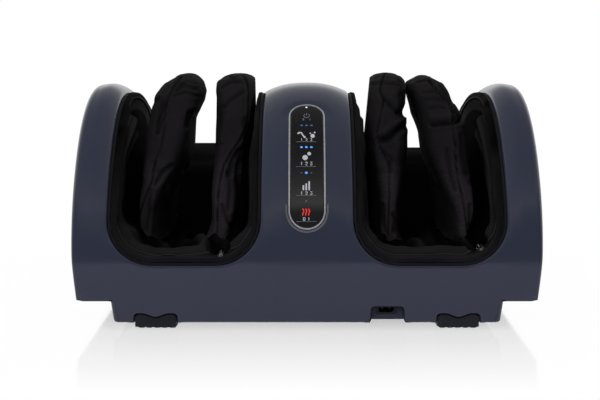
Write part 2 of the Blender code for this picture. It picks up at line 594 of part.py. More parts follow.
# ---------------------------------------------------------------- leads
def lead(name, points, r, look):
    """A tube along a smooth curve through these points."""
    pts = [Vector(p) for p in points]
    ends = [pts[0] * 2 - pts[1]] + pts + [pts[-1] * 2 - pts[-2]]
    smooth_pts = []
    for i in range(1, len(ends) - 2):
        a, b, c, d = ends[i - 1 : i + 3]
        for j in range(4):
            t = j / 4
            smooth_pts.append(0.5 * ((2 * b) + (c - a) * t + (2 * a - 5 * b + 4 * c - d) * t * t + (3 * b - a - 3 * c + d) * t ** 3))
    smooth_pts.append(pts[-1])
    curve = bpy.data.curves.new(name, "CURVE")
    curve.dimensions = "3D"
    spline = curve.splines.new("POLY")
    spline.points.add(len(smooth_pts) - 1)
    for point, co in zip(spline.points, smooth_pts):
        point.co = (*(co * MM), 1.0)
    curve.bevel_depth = r * MM
    curve.bevel_resolution = 2
    curve.use_fill_caps = True
    curve.materials.append(material(name, *LOOKS[look]))
    obj = bpy.data.objects.new(name, curve)
    bpy.context.scene.collection.objects.link(obj)
    return obj


lead("panel_lead", [(0, front(45.5), 102.5), (0, front(46), 88), (-4, front(42), 66), (-5, front(52), 46), (-5, front(55), 38), (-5, front(55), 32.7)], 2.2, "plastic")
lead("motor_lead", [(0, -109.6, 96.5), (0, -122, 95), (-14, -132, 74), (-32, -140, 52), (-34, -152, 42), (-34, -152, 30.7)], 2.0, "plastic")
lead("inlet_lead", [(INLET_X, front(42.8), 18.0), (INLET_X, front(50), 18.5), (INLET_X - 18, front(62), 24), (38, front(62), 26), (18, front(55), 24), (4.6, front(55), 24)], 2.4, "plastic")

# ---------------------------------------------------------------- fold-out stand
stand_joint = joint_empty("stand_fold_axis", (0, STAND_Y, STAND_Z), (1, 0, 0))
path = [(-114.0, STAND_Y), (-104.5, STAND_Y)]
def corner(cx, cy, r, a0, a1):
    return [(cx + r * math.cos(math.radians(a0 + (a1 - a0) * i / 4)), cy + r * math.sin(math.radians(a0 + (a1 - a0) * i / 4))) for i in range(5)]
left_half = [(-114.0, STAND_Y)] + corner(-105.0, STAND_Y + 5.0, 5.0, -90, 0) + corner(-92.0, STAND_Y + 46.0, 8.0, 180, 90)
path = left_half + [(-x, y) for x, y in reversed(left_half)]
stand_curve = bpy.data.curves.new("tilt_stand", "CURVE")
stand_curve.dimensions = "3D"
spline = stand_curve.splines.new("POLY")
spline.points.add(len(path) - 1)
for point, (x, y) in zip(spline.points, path):
    point.co = (x * MM, (y - STAND_Y) * MM, 0.0, 1.0)
stand_curve.bevel_depth = 3.0 * MM
stand_curve.bevel_resolution = 2
stand_curve.use_fill_caps = True
stand_curve.materials.append(material("tilt_stand", *LOOKS["steel"]))
stand = bpy.data.objects.new("tilt_stand", stand_curve)
bpy.context.scene.collection.objects.link(stand)
stand.location = Vector((0, STAND_Y, STAND_Z)) * MM
sleeve = build("stand_sleeve", ring("x", 3.3, 4.8, -70.0, 70.0, 20), "rubber", (0, STAND_Y + 54.0, STAND_Z))
carry(stand_joint, stand, sleeve)
for side, tag in ((-1, "left"), (1, "right")):
    a, b = sorted((side * 106.0, side * 117.5))
    clip = build(f"{tag}_stand_clip", box(a, b, STAND_Y - 8.0, STAND_Y + 6.0, 4.6, 16.0), "plastic", smooth=False)
    boolean(clip, helper(f"cut_{tag}_clip_bore", rod("x", STAND_Y, STAND_Z, 3.3, -130, 130, 20)))

# ---------------------------------------------------------------- zips of the liners
# A slider sits on a lower corner of its well: middle of the corner in X, its turn about Y in degrees.
ZIP_Y = 26.0
ZIPS = {"left": (-(WELL_IN + WELL_R), 8.4), "right": (WELL_OUT - WELL_R, 36.7)}
for tag, (corner_x, slope) in ZIPS.items():
    t = math.radians(slope)
    reach = WELL_R - TUB_WALL - GAP - LINER_T - 1.8
    corner_z = well_floor(ZIP_Y - 5.0) + WELL_R - TUB_WALL
    turn = Matrix.Rotation(-t, 3, "Y").to_quaternion()
    at = Vector((corner_x + reach * math.sin(t), front(ZIP_Y), corner_z - reach * math.cos(t)))
    slider = build(f"{tag}_zip_slider", box(-3.0, 3.0, -4.5, 4.5, 0.0, 2.6), "zinc", at, smooth=False, turn=turn)
    bail = ring("x", 1.3, 2.1, -0.9, 0.9, 12)
    boolean(slider, inside(helper(f"{tag}_bail", ([(v[0], v[1] + 1.0, v[2] + 4.0) for v in bail[0]], bail[1])), slider), "UNION")
    hinge_at = at + turn @ Vector((0.0, 1.0, 4.0))
    pull_joint = joint_empty(f"{tag}_zip_pull_axis", hinge_at, turn @ Vector((1, 0, 0)))
    tab = prism([(-2.9, 0.9), (2.9, 0.9), (2.9, -4.0), (2.2, -17.0), (-2.2, -17.0), (-2.9, -4.0)], "z", -0.45, 0.45)
    pull = build(f"{tag}_zip_pull", tab, "zinc", hinge_at, smooth=False, turn=turn)
    boolean(pull, inside(helper(f"cut_{tag}_pull_eye", box(-1.4, 1.4, -3.2, 3.0, -3.0, 3.0)), pull))
    boolean(pull, inside(helper(f"{tag}_pull_pin", rod("x", 0, 0, 0.75, -2.0, 2.0, 12)), pull), "UNION")
    carry(pull_joint, pull)
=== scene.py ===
import json
import math

import bmesh
import bpy
import numpy as np
from mathutils import Matrix, Vector, noise
from mathutils.bvhtree import BVHTree
from mathutils.geometry import delaunay_2d_cdt

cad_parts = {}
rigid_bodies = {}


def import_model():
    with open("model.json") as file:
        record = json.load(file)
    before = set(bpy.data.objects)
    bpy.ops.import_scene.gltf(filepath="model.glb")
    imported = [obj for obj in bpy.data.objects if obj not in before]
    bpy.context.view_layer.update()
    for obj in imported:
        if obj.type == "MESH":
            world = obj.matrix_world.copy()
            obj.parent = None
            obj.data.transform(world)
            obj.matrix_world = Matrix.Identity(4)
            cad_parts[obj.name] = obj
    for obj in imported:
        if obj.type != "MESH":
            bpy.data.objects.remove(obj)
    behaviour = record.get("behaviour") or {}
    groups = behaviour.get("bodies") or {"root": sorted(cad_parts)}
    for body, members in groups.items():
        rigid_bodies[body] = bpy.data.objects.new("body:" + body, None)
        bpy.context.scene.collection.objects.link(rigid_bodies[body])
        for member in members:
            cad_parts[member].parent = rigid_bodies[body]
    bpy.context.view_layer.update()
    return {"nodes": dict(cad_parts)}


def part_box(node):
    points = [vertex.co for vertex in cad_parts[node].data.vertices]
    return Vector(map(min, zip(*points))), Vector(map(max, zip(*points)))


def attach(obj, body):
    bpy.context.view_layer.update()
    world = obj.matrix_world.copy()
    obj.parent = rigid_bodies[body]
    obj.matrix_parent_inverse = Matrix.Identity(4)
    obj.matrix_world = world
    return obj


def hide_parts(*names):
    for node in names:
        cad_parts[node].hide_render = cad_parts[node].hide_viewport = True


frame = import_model()
NODES = frame["nodes"]
MM = 0.001

# ---------------------------------------------------------------- dimensions shared with the solids
WIDTH, DEPTH = 440.0, 400.0
CREASE_Z = 66.0
ARC_R = 160.0
BACK_A, BACK_B, BACK_Z = 240.0, 136.0, 90.0
SKIRT_Z, OVERHANG_Z, SKIRT_X = 7.6, 28.4, 184.6
DRAFT = math.tan(math.radians(5.0))
CROWN, GAP = 10.0, 0.3
WELL_IN, WELL_OUT, WELL_R, WELL_FLOOR = 43.8, 186.4, 42.0, 58.0
TUB_WALL, LINER_T = 2.5, 2.5
SHAFT_Z = 46.0
WOBBLE = math.radians(3.5)
PADDLES = {"left_outer": (-1, 158.0, -18.0, 0.0), "left_inner": (-1, 82.0, -3.0, 45.0),
           "right_inner": (1, 82.0, -3.0, -60.0), "right_outer": (1, 158.0, -18.0, 180.0)}
LEVER = 187.0
PANEL_B0, PANEL_B1, PANEL_W = 11.0, 62.0, 35.0
FOOT_X, INLET_X = 142.4, 75.6
SEAM_Z = 29.9            # where the overhanging upper part ends


def front(yf):
    return yf - DEPTH / 2


def smooth(t):
    t = np.clip(t, 0.0, 1.0)
    return t * t * (3 - 2 * t)


def bump(d, width):
    """A soft hump, 1 at 0 and 0 from width on."""
    return smooth(1 - np.abs(d) / width)


# ---------------------------------------------------------------- camera
FOCAL = 1203.5           # in pixels of a 600 x 400 picture
CAM_AT = Vector((-6.6, -1300.0, 278.3))
CAM_PITCH = math.radians(7.935)
cam_data = bpy.data.cameras.new("camera")
cam_data.lens, cam_data.sensor_width, cam_data.sensor_fit = FOCAL / 600 * 36, 36.0, "HORIZONTAL"
cam = bpy.data.objects.new("camera", cam_data)
bpy.context.scene.collection.objects.link(cam)
cam.location = CAM_AT * MM
cam.rotation_euler = (math.pi / 2 - CAM_PITCH, 0, 0)
bpy.context.scene.camera = cam


def row_of(y, z):
    """Picture row of a point on the middle plane."""
    return 200 + FOCAL * math.tan(math.atan2(CAM_AT.z - z, y - CAM_AT.y) - CAM_PITCH)


# ---------------------------------------------------------------- building meshes
def add_mesh(name, verts, faces, mats=(), body="root", flat=False, sharp=None, index=None):
    mesh = bpy.data.meshes.new(name)
    mesh.from_pydata((np.asarray(verts, float) * MM).tolist(), [], [tuple(f) for f in faces])
    for mat in mats:
        mesh.materials.append(mat)
    if index is not None:
        mesh.polygons.foreach_set("material_index", np.asarray(index, np.int32))
    if not flat:
        mesh.shade_smooth()
        if sharp:
            mesh.set_sharp_from_angle(angle=math.radians(sharp))
    obj = bpy.data.objects.new(name, mesh)
    bpy.context.scene.collection.objects.link(obj)
    if body:
        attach(obj, body)
    return obj


def grid(rows, cols, wrap=False, start=0, wrap_rows=False):
    """Quads over rows x cols points numbered row by row."""
    out = []
    for i in range(rows if wrap_rows else rows - 1):
        a, b = start + (i % rows) * cols, start + ((i + 1) % rows) * cols
        for j in range(cols if wrap else cols - 1):
            k = (j + 1) % cols
            out.append((a + j, a + k, b + k, b + j))
    return out


def orient(obj, weld=0.0):
    """Faces turned outwards, and points that coincide made one."""
    bm = bmesh.new()
    bm.from_mesh(obj.data)
    if weld:
        bmesh.ops.remove_doubles(bm, verts=bm.verts, dist=weld * MM)
    bmesh.ops.recalc_face_normals(bm, faces=bm.faces)
    bm.to_mesh(obj.data)
    bm.free()
    return obj


def bake(obj):
    """Applies the object's modifiers."""
    deps = bpy.context.evaluated_depsgraph_get()
    mesh = bpy.data.meshes.new_from_object(obj.evaluated_get(deps), depsgraph=deps)
    old = obj.data
    obj.modifiers.clear()
    obj.data = mesh
    bpy.data.meshes.remove(old)
    mesh.name = obj.name
    return obj


def tube(points, radius, seg=10, closed=False, up=(0, 0, 1), ribs=None):
    """Verts and faces of a tube along points; radius may be a list."""
    pts = [Vector(p) for p in points]
    n = len(pts)
    verts, faces = [], []
    side = None
    for i, p in enumerate(pts):
        a = pts[(i - 1) % n] if closed or i else pts[0]
        b = pts[(i + 1) % n] if closed or i < n - 1 else pts[-1]
        t = (b - a).normalized()
        if side is None:
            ref = Vector(up)
            if abs(ref.dot(t)) > 0.9:
                ref = Vector((1, 0, 0))
            side = t.cross(ref).normalized()
        side = (side - t * side.dot(t)).normalized()
        other = t.cross(side)
        r = radius[i] if hasattr(radius, "__len__") else radius
        for k in range(seg):
            w = 2 * math.pi * k / seg
            verts.append(tuple(p + side * (r * math.cos(w)) + other * (r * math.sin(w))))
    faces = grid(n, seg, wrap=True, wrap_rows=closed)
    if not closed:
        faces.append(tuple(range(seg)))
        faces.append(tuple(reversed(range((n - 1) * seg, n * seg))))
    return verts, faces


def join(*parts):
    """Several (verts, faces) as one."""
    verts, faces = [], []
    for v, f in parts:
        k = len(verts)
        verts += [tuple(p) for p in v]
        faces += [tuple(i + k for i in q) for q in f]
    return verts, faces


# ---------------------------------------------------------------- materials
def new_material(name):
    mat = bpy.data.materials.new(name)
    mat.use_nodes = True
    tree = mat.node_tree
    return mat, tree, tree.nodes["Principled BSDF"]


def node(tree, kind, inputs=None, **settings):
    made = tree.nodes.new(kind)
    for key, value in settings.items():
        setattr(made, key, value)
    for key, value in (inputs or {}).items():
        if hasattr(value, "is_output"):
            tree.links.new(value, made.inputs[key])
        else:
            made.inputs[key].default_value = value
    return made


def coords(tree, scale=(1, 1, 1)):
    spot = node(tree, "ShaderNodeTexCoord")
    return node(tree, "ShaderNodeMapping", {"Vector": spot.outputs["Object"], "Scale": scale}).outputs["Vector"]


def ramp(tree, fac, stops):
    made = node(tree, "ShaderNodeValToRGB", {"Fac": fac})
    ramp_ = made.color_ramp
    while len(ramp_.elements) < len(stops):
        ramp_.elements.new(0.5)
    for element, (at, colour) in zip(ramp_.elements, stops):
        element.position = at
        element.color = (*colour, 1.0) if len(colour) == 3 else colour
    return made.outputs["Color"]


def grey(v):
    return (v, v, v)


def plastic(name, low, high, rough, grain=1.0, coat=0.0, spec=0.5, bump_by=0.02, scale=900.0, metal=0.0):
    """Moulded plastic or plain metal: two close tones, a fine grain in roughness and height."""
    mat, tree, shader = new_material(name)
    at = coords(tree)
    cloud = node(tree, "ShaderNodeTexNoise", {"Vector": at, "Scale": 14.0, "Detail": 3.0, "Roughness": 0.5})
    tree.links.new(ramp(tree, cloud.outputs["Fac"], ((0.35, low), (0.65, high))), shader.inputs["Base Color"])
    fine = node(tree, "ShaderNodeTexNoise", {"Vector": at, "Scale": scale, "Detail": 2.0, "Roughness": 0.6})
    spread = node(tree, "ShaderNodeMapRange", {"Value": fine.outputs["Fac"], "From Min": 0.3, "From Max": 0.7, "To Min": rough * (1 - 0.12 * grain), "To Max": rough * (1 + 0.12 * grain)})
    tree.links.new(spread.outputs["Result"], shader.inputs["Roughness"])
    high_ = node(tree, "ShaderNodeBump", {"Strength": bump_by, "Distance": 0.0004, "Height": fine.outputs["Fac"]})
    tree.links.new(high_.outputs["Normal"], shader.inputs["Normal"])
    shader.inputs["Metallic"].default_value = metal
    shader.inputs["Specular IOR Level"].default_value = spec
    if coat:
        shader.inputs["Coat Weight"].default_value = coat
        shader.inputs["Coat Roughness"].default_value = 0.06
    return mat


def shell_material():
    """Graphite gloss paint: faint orange peel, fine metallic fleck, dust-fine variation in gloss."""
    mat, tree, shader = new_material("graphite_gloss")
    at = coords(tree)
    fleck = node(tree, "ShaderNodeTexVoronoi", {"Vector": at, "Scale": 2600.0, "Randomness": 1.0})
    tone = ramp(tree, fleck.outputs["Distance"], ((0.0, (0.0330, 0.0375, 0.0620)), (0.55, (0.0285, 0.0325, 0.0545))))
    tree.links.new(tone, shader.inputs["Base Color"])
    peel = node(tree, "ShaderNodeTexNoise", {"Vector": at, "Scale": 260.0, "Detail": 2.0, "Roughness": 0.45})
    lift = node(tree, "ShaderNodeBump", {"Strength": 0.05, "Distance": 0.0006, "Height": peel.outputs["Fac"]})
    tree.links.new(lift.outputs["Normal"], shader.inputs["Normal"])
    haze = node(tree, "ShaderNodeTexNoise", {"Vector": at, "Scale": 22.0, "Detail": 4.0, "Roughness": 0.6})
    spread = node(tree, "ShaderNodeMapRange", {"Value": haze.outputs["Fac"], "From Min": 0.3, "From Max": 0.7, "To Min": 0.17, "To Max": 0.22})
    tree.links.new(spread.outputs["Result"], shader.inputs["Roughness"])
    shader.inputs["Specular IOR Level"].default_value = 0.5
    return mat


def fabric_material(name, dark, light, sheen=0.0, pitch=0.95, deep=False, dull=False):
    """Black knitted stretch cloth: fine ribs and loops, soft mottling, a little sheen; with deep, painted light and
    shade from the depth attribute.
    """
    mat, tree, shader = new_material(name)
    at = coords(tree)
    mottle = node(tree, "ShaderNodeTexNoise", {"Vector": at, "Scale": 34.0, "Detail": 5.0, "Roughness": 0.6})
    tone = ramp(tree, mottle.outputs["Fac"], ((0.3, dark), (0.7, light)))
    ribs = node(tree, "ShaderNodeTexWave", {"Vector": at, "Scale": 1000.0 / pitch / 6.2832, "Distortion": 1.2, "Detail": 1.0, "Detail Scale": 3.0}, wave_type="BANDS", bands_direction="DIAGONAL")
    loops = node(tree, "ShaderNodeTexVoronoi", {"Vector": at, "Scale": 1000.0 / pitch, "Randomness": 0.55})
    both = node(tree, "ShaderNodeMath", {0: ribs.outputs["Fac"], 1: loops.outputs["Distance"]}, operation="ADD")
    shade = ramp(tree, both.outputs["Value"], ((0.25, grey(0.72)), (1.1, grey(1.0))))
    mixed = node(tree, "ShaderNodeMix", {0: 1.0, 6: tone, 7: shade}, data_type="RGBA", blend_type="MULTIPLY")
    colour = mixed.outputs[2]
    if deep:
        # painted light and shade: the depth attribute darkens the cloth towards the bottom of the well and in its seams
        # and creases
        depth = node(tree, "ShaderNodeAttribute", attribute_name="depth")
        dim = ramp(tree, depth.outputs["Fac"], ((0.0, grey(1.0)), (0.5, grey(0.42)), (1.0, grey(0.10))))
        colour = node(tree, "ShaderNodeMix", {0: 1.0, 6: colour, 7: dim}, data_type="RGBA", blend_type="MULTIPLY").outputs[2]
    tree.links.new(colour, shader.inputs["Base Color"])
    lift = node(tree, "ShaderNodeBump", {"Strength": 0.35, "Distance": 0.0003, "Height": both.outputs["Value"]})
    tree.links.new(lift.outputs["Normal"], shader.inputs["Normal"])
    rough = node(tree, "ShaderNodeMapRange", {"Value": mottle.outputs["Fac"], "From Min": 0.3, "From Max": 0.7, "To Min": 0.84, "To Max": 0.96})
    tree.links.new(rough.outputs["Result"], shader.inputs["Roughness"])
    shader.inputs["Specular IOR Level"].default_value = 0.08
    if dull:
        # painted shade on the gloss too: where the depth attribute darkens the grooves and the bottom of the well, they
        # give back hardly any gloss either
        fade = node(tree, "ShaderNodeMapRange", {"Value": depth.outputs["Fac"], "From Min": 0.35, "From Max": 1.0, "To Min": 0.08, "To Max": 0.01})
        tree.links.new(fade.outputs["Result"], shader.inputs["Specular IOR Level"])
    shader.inputs["Sheen Weight"].default_value = sheen
    shader.inputs["Sheen Roughness"].default_value = 0.45
    return mat


def glow(name, colour, strength):
    mat, tree, shader = new_material(name)
    at = coords(tree)
    soft = node(tree, "ShaderNodeTexNoise", {"Vector": at, "Scale": 700.0, "Detail": 1.0})
    low = tuple(c * 0.85 for c in colour)
    tone = ramp(tree, soft.outputs["Fac"], ((0.3, low), (0.7, colour)))
    tree.links.new(tone, shader.inputs["Base Color"])
    tree.links.new(tone, shader.inputs["Emission Color"])
    shader.inputs["Emission Strength"].default_value = strength
    shader.inputs["Roughness"].default_value = 0.4
    return mat


SHELL = shell_material()
FABRIC = fabric_material("black_knit", (0.0120, 0.0106, 0.0120), (0.0165, 0.0146, 0.0160))
# the padded cloth is set lighter than the plain knit and then darkened by painted light and shade in the depth
# attribute; the lining carries painted shade the same way
MITTEN = fabric_material("black_knit_padded", (0.0288, 0.0256, 0.0288), (0.0396, 0.0354, 0.0388), deep=True)
LINING = fabric_material("black_lining", (0.0112, 0.0104, 0.0114), (0.0150, 0.0138, 0.0150), 0.0, 1.1, deep=True, dull=True)
TAPE = fabric_material("zip_tape", (0.0060, 0.0058, 0.0062), (0.0095, 0.0092, 0.0098), 0.05, 0.7)
THREAD = fabric_material("seam_thread", (0.0085, 0.0080, 0.0085), (0.0130, 0.0122, 0.0130), 0.05, 0.5)
TEETH = plastic("zip_coil", (0.010, 0.010, 0.011), (0.016, 0.016, 0.018), 0.38)
CHROME = plastic("satin_chrome", (0.66, 0.665, 0.68), (0.72, 0.725, 0.74), 0.26, metal=0.72, bump_by=0.01)
SMOKED = plastic("smoked_chrome", (0.16, 0.165, 0.185), (0.20, 0.205, 0.225), 0.24, metal=0.6, bump_by=0.01)
GLASS = plastic("panel_gloss", (0.0040, 0.0036, 0.0046), (0.0056, 0.0050, 0.0062), 0.12, spec=0.95, bump_by=0.004, scale=400.0)
RUBBER = plastic("foot_rubber", (0.0115, 0.0120, 0.0150), (0.0160, 0.0165, 0.0200), 0.62, bump_by=0.25, scale=1400.0, spec=0.35)
BLACK = plastic("black_abs", (0.011, 0.011, 0.012), (0.016, 0.016, 0.018), 0.42, bump_by=0.12, scale=1200.0)
DULL = plastic("tub_abs", (0.0070, 0.0070, 0.0078), (0.0100, 0.0100, 0.0112), 0.72, bump_by=0.15, scale=1200.0, spec=0.16)
PAN = plastic("pan_abs", (0.016, 0.016, 0.018), (0.023, 0.023, 0.026), 0.48, bump_by=0.2, scale=1100.0)
ZINC = plastic("zinc_cast", (0.36, 0.37, 0.385), (0.46, 0.47, 0.485), 0.36, metal=1.0, bump_by=0.15, scale=700.0)
NICKEL = plastic("nickel", (0.52, 0.51, 0.50), (0.63, 0.62, 0.60), 0.2, metal=1.0, bump_by=0.03)
STEEL = plastic("ground_steel", (0.44, 0.445, 0.455), (0.53, 0.535, 0.545), 0.27, metal=1.0, bump_by=0.08, scale=900.0)
NYLON = plastic("natural_nylon", (0.52, 0.515, 0.48), (0.60, 0.595, 0.56), 0.45, bump_by=0.1, scale=900.0)
BOARD = plastic("board_green", (0.010, 0.075, 0.030), (0.016, 0.110, 0.045), 0.35, bump_by=0.1, scale=500.0)
SILICONE = plastic("heater_silicone", (0.36, 0.085, 0.022), (0.46, 0.125, 0.034), 0.58, bump_by=0.3, scale=420.0)
PRINT = plastic("white_print", (0.50, 0.51, 0.54), (0.58, 0.59, 0.62), 0.45)
DIM_PRINT = plastic("grey_print", (0.17, 0.17, 0.19), (0.21, 0.21, 0.23), 0.45)
BLUE = glow("blue_light", (0.09, 0.32, 0.95), 0.62)
BLUE_DIM = glow("blue_dim_light", (0.05, 0.10, 0.30), 0.35)
RED = glow("red_light", (0.62, 0.03, 0.025), 0.55)
WHITE_DOT = glow("white_light", (0.85, 0.88, 0.95), 0.8)

# ---------------------------------------------------------------- the housing's surface
def profile_table():
    pts = []
    for z in np.linspace(SEAM_Z, CREASE_Z, 40):
        pts.append(((CREASE_Z - z) * DRAFT, z))
    for b in np.radians(np.linspace(0, 90, 241))[1:]:
        pts.append((ARC_R - ARC_R * math.cos(b), CREASE_Z + ARC_R * math.sin(b)))
    for b in np.radians(np.linspace(0, 90, 241))[1:]:
        pts.append((ARC_R + BACK_A * math.sin(b), BACK_Z + BACK_B * math.cos(b)))
    for z in np.linspace(BACK_Z, CREASE_Z, 20)[1:]:
        pts.append((DEPTH, z))
    for z in np.linspace(CREASE_Z, SEAM_Z, 40)[1:]:
        pts.append((DEPTH - (CREASE_Z - z) * DRAFT, z))
    pts = np.array(pts)
    step = np.gradient(pts, axis=0)
    step /= np.linalg.norm(step, axis=1)[:, None]
    run = np.concatenate([[0], np.cumsum(np.linalg.norm(np.diff(pts, axis=0), axis=1))])
    return run, pts[:, 0], pts[:, 1], -step[:, 1], step[:, 0]


RUN, PY, PZ, PNY, PNZ = profile_table()
S_END = RUN[-1]
S_CREST = float(np.interp(ARC_R, PY[40:400], RUN[40:400]))
S_CREASE = float(RUN[39])


def on_profile(s):
    return tuple(np.interp(s, RUN, a) for a in (PY, PZ, PNY, PNZ))


def edge_radius(z):
    return 5.0 + 4.0 * smooth((z - CREASE_Z) / 114.0)


def crown(x, z):
    x = np.abs(x)
    w = smooth((z - CREASE_Z) / 114.0)
    r = 5.0 + 4.0 * w
    edge = WIDTH / 2 - r
    inner = CROWN * w * (np.minimum(x, WELL_IN) / WELL_IN) ** 2.4
    crest = 204.0
    fall = (1.0 * smooth((x - WELL_OUT) / 12.0) + 0.9 * (np.maximum(x - crest, 0.0) / (edge - crest)) ** 2) * w
    outer = CROWN * w * (np.maximum(crest - x, 0.0) / (crest - WELL_OUT)) ** 2 + fall
    over = 1.9 * w + r - np.sqrt(np.maximum(r * r - np.clip(x - edge, 0.0, r) ** 2, 0.0))
    return np.where(x <= WELL_IN, inner, np.where(x <= WELL_OUT, CROWN * w, np.where(x <= edge, outer, over)))


def taper(z):
    """How far the sides draw in below the crease."""
    return 3.0 * np.clip((72.0 - z) / 43.6, 0.0, 1.3) ** 1.5


def panel_scoop(x, s):
    """Dished edge of the housing round the upper end of the panel."""
    r = PANEL_W / 2
    s0, s1 = math.radians(PANEL_B0) * ARC_R, math.radians(PANEL_B1) * ARC_R
    mid = np.clip(s - S_CREASE, s0 + r, s1 - r)
    d = np.hypot(x, s - S_CREASE - mid) - r
    top = smooth((s - S_CREASE - (s1 - 34.0)) / 30.0)
    rim = 0.7 * np.exp(-np.maximum(d, 0) / 1.3)
    return np.where(d < -3.0, 2.2, rim + 3.4 * top * smooth(1 - np.maximum(d, 0) / 8.5))


def surface(x, s, drop=0.0):
    """Points of the outer surface at X, run along the profile, sunk by drop."""
    y, z, ny, nz = on_profile(s)
    d = crown(x, z) + drop
    zz = z - nz * d
    yy = front(y - ny * d)
    pull = taper(zz) * smooth((np.abs(x) - 150.0) / 60.0)
    return np.stack([x - np.sign(x) * pull, yy, zz], -1)


def spread_x(p, s):
    """X at the share p of the way over the surface from the middle to the side edge; also how far round the edge."""
    _, z, _, _ = on_profile(s)
    r = edge_radius(z)
    edge = WIDTH / 2 - r
    q = p * (edge + r * math.pi / 2)
    turn = np.clip((q - edge) / r, 0.0, math.pi / 2)
    return np.where(q <= edge, q, edge + r * np.sin(turn))


def share_of(x, s):
    _, z, _, _ = on_profile(s)
    r = edge_radius(z)
    edge = WIDTH / 2 - r
    q = np.where(x <= edge, x, edge + r * np.arcsin(np.clip((x - edge) / r, 0, 1)))
    return q / (edge + r * math.pi / 2)


def well_floor(yf):
    yf = np.asarray(yf, float)
    lip = WELL_FLOOR + (CREASE_Z - WELL_FLOOR) * (1 - smooth(yf / 60.0))
    t = np.maximum(yf - 290.0, 0.0) / 94.0
    return np.where(yf <= 60.0, lip, WELL_FLOOR + 82.0 * (0.25 * t + 0.75 * t ** 2.2))


def opening_loop(grow):
    """The edge of a well's opening (right-hand well): X, run, and how each point leads outwards."""
    x0, x1 = WELL_IN + TUB_WALL - grow, WELL_OUT - TUB_WALL + grow
    r = WELL_R - TUB_WALL + grow

    def solve(x, rise, rear):
        lo = np.full_like(x, S_CREST if rear else 0.0)
        hi = np.full_like(x, S_END if rear else S_CREST)
        for _ in range(48):
            mid = (lo + hi) / 2
            p = surface(x, mid)
            gap = p[:, 2] - (well_floor(p[:, 1] + DEPTH / 2) - grow + rise)
            up = gap < 0 if not rear else gap > 0
            lo, hi = np.where(up, mid, lo), np.where(up, hi, mid)
        return (lo + hi) / 2

    n = 22
    a = np.linspace(math.pi, 1.5 * math.pi, n + 1)
    cx, cr = x0 + r + r * np.cos(a), r + r * np.sin(a)
    flat = np.linspace(x0 + r, x1 - r, 25)[1:-1]
    dx, dr = x1 - r - r * np.cos(a[::-1]), r + r * np.sin(a[::-1])
    fx = np.concatenate([cx, flat, dx])
    fr = np.concatenate([cr, np.zeros(len(flat)), dr])
    fs, rs = solve(fx, fr, False), solve(fx, fr, True)
    m = 150
    up = np.linspace(fs[-1], rs[-1], m + 1)[1:-1]
    down = np.linspace(rs[0], fs[0], m + 1)[1:-1]
    X = np.concatenate([fx, np.full(m - 1, x1), fx[::-1], np.full(m - 1, x0)])
    S = np.concatenate([fs, up, rs[::-1], down])
    # where each point leads: the middle line, the side edge, or the lower rows (share of width, run)
    k = len(fx)
    P, Q = np.zeros(len(X)), np.zeros(len(X))
    half = n // 2
    for i in range(k):
        if i <= half:
            p, q = 0.0, 1 - i / half
        elif i <= n:
            p, q = None, (i - half) / (n - half) * (x0 + r)
        elif i < k - 1 - n:
            p, q = None, fx[i]
        elif i < k - 1 - half:
            f = (i - (k - 1 - n)) / (n - half)
            stops = (0.0, 0.5, 1.0)
            edge_x = float(spread_x(1.0, 0.0))
            q = float(np.interp(f, stops, (x1 - r, SKIRT_X, edge_x)))
            p = None
        else:
            p, q = 1.0, (i - (k - 1 - half)) / half
        for rear in (False, True):
            at = i if not rear else k + m - 1 + (k - 1 - i)
            end = S_END if rear else 0.0
            if p is None:
                P[at], Q[at] = float(share_of(q, end)), end
            else:
                corner_s = (rs if rear else fs)[0 if p == 0.0 else -1]
                P[at], Q[at] = p, end + (corner_s - end) * q
    P[k:k + m - 1], Q[k:k + m - 1] = 1.0, up
    P[2 * k + m - 1:], Q[2 * k + m - 1:] = 0.0, down
    return X, S, P, Q, k, m


def loop_normals(X, S):
    """Outward direction in the unrolled sheet at each loop point."""
    pts = np.stack([X, S], -1)
    t = np.roll(pts, -1, 0) - np.roll(pts, 1, 0)
    t /= np.linalg.norm(t, axis=1)[:, None]
    n = np.stack([t[:, 1], -t[:, 0]], -1)
    mid = pts.mean(0)
    if np.mean(np.sum((pts - mid) * n, 1)) < 0:
        n = -n
    for _ in range(3):
        n = (np.roll(n, 1, 0) + 2 * n + np.roll(n, -1, 0)) / 4
    return n / np.linalg.norm(n, axis=1)[:, None]


RIM = 2.4                # radius of the rolled edge of a well


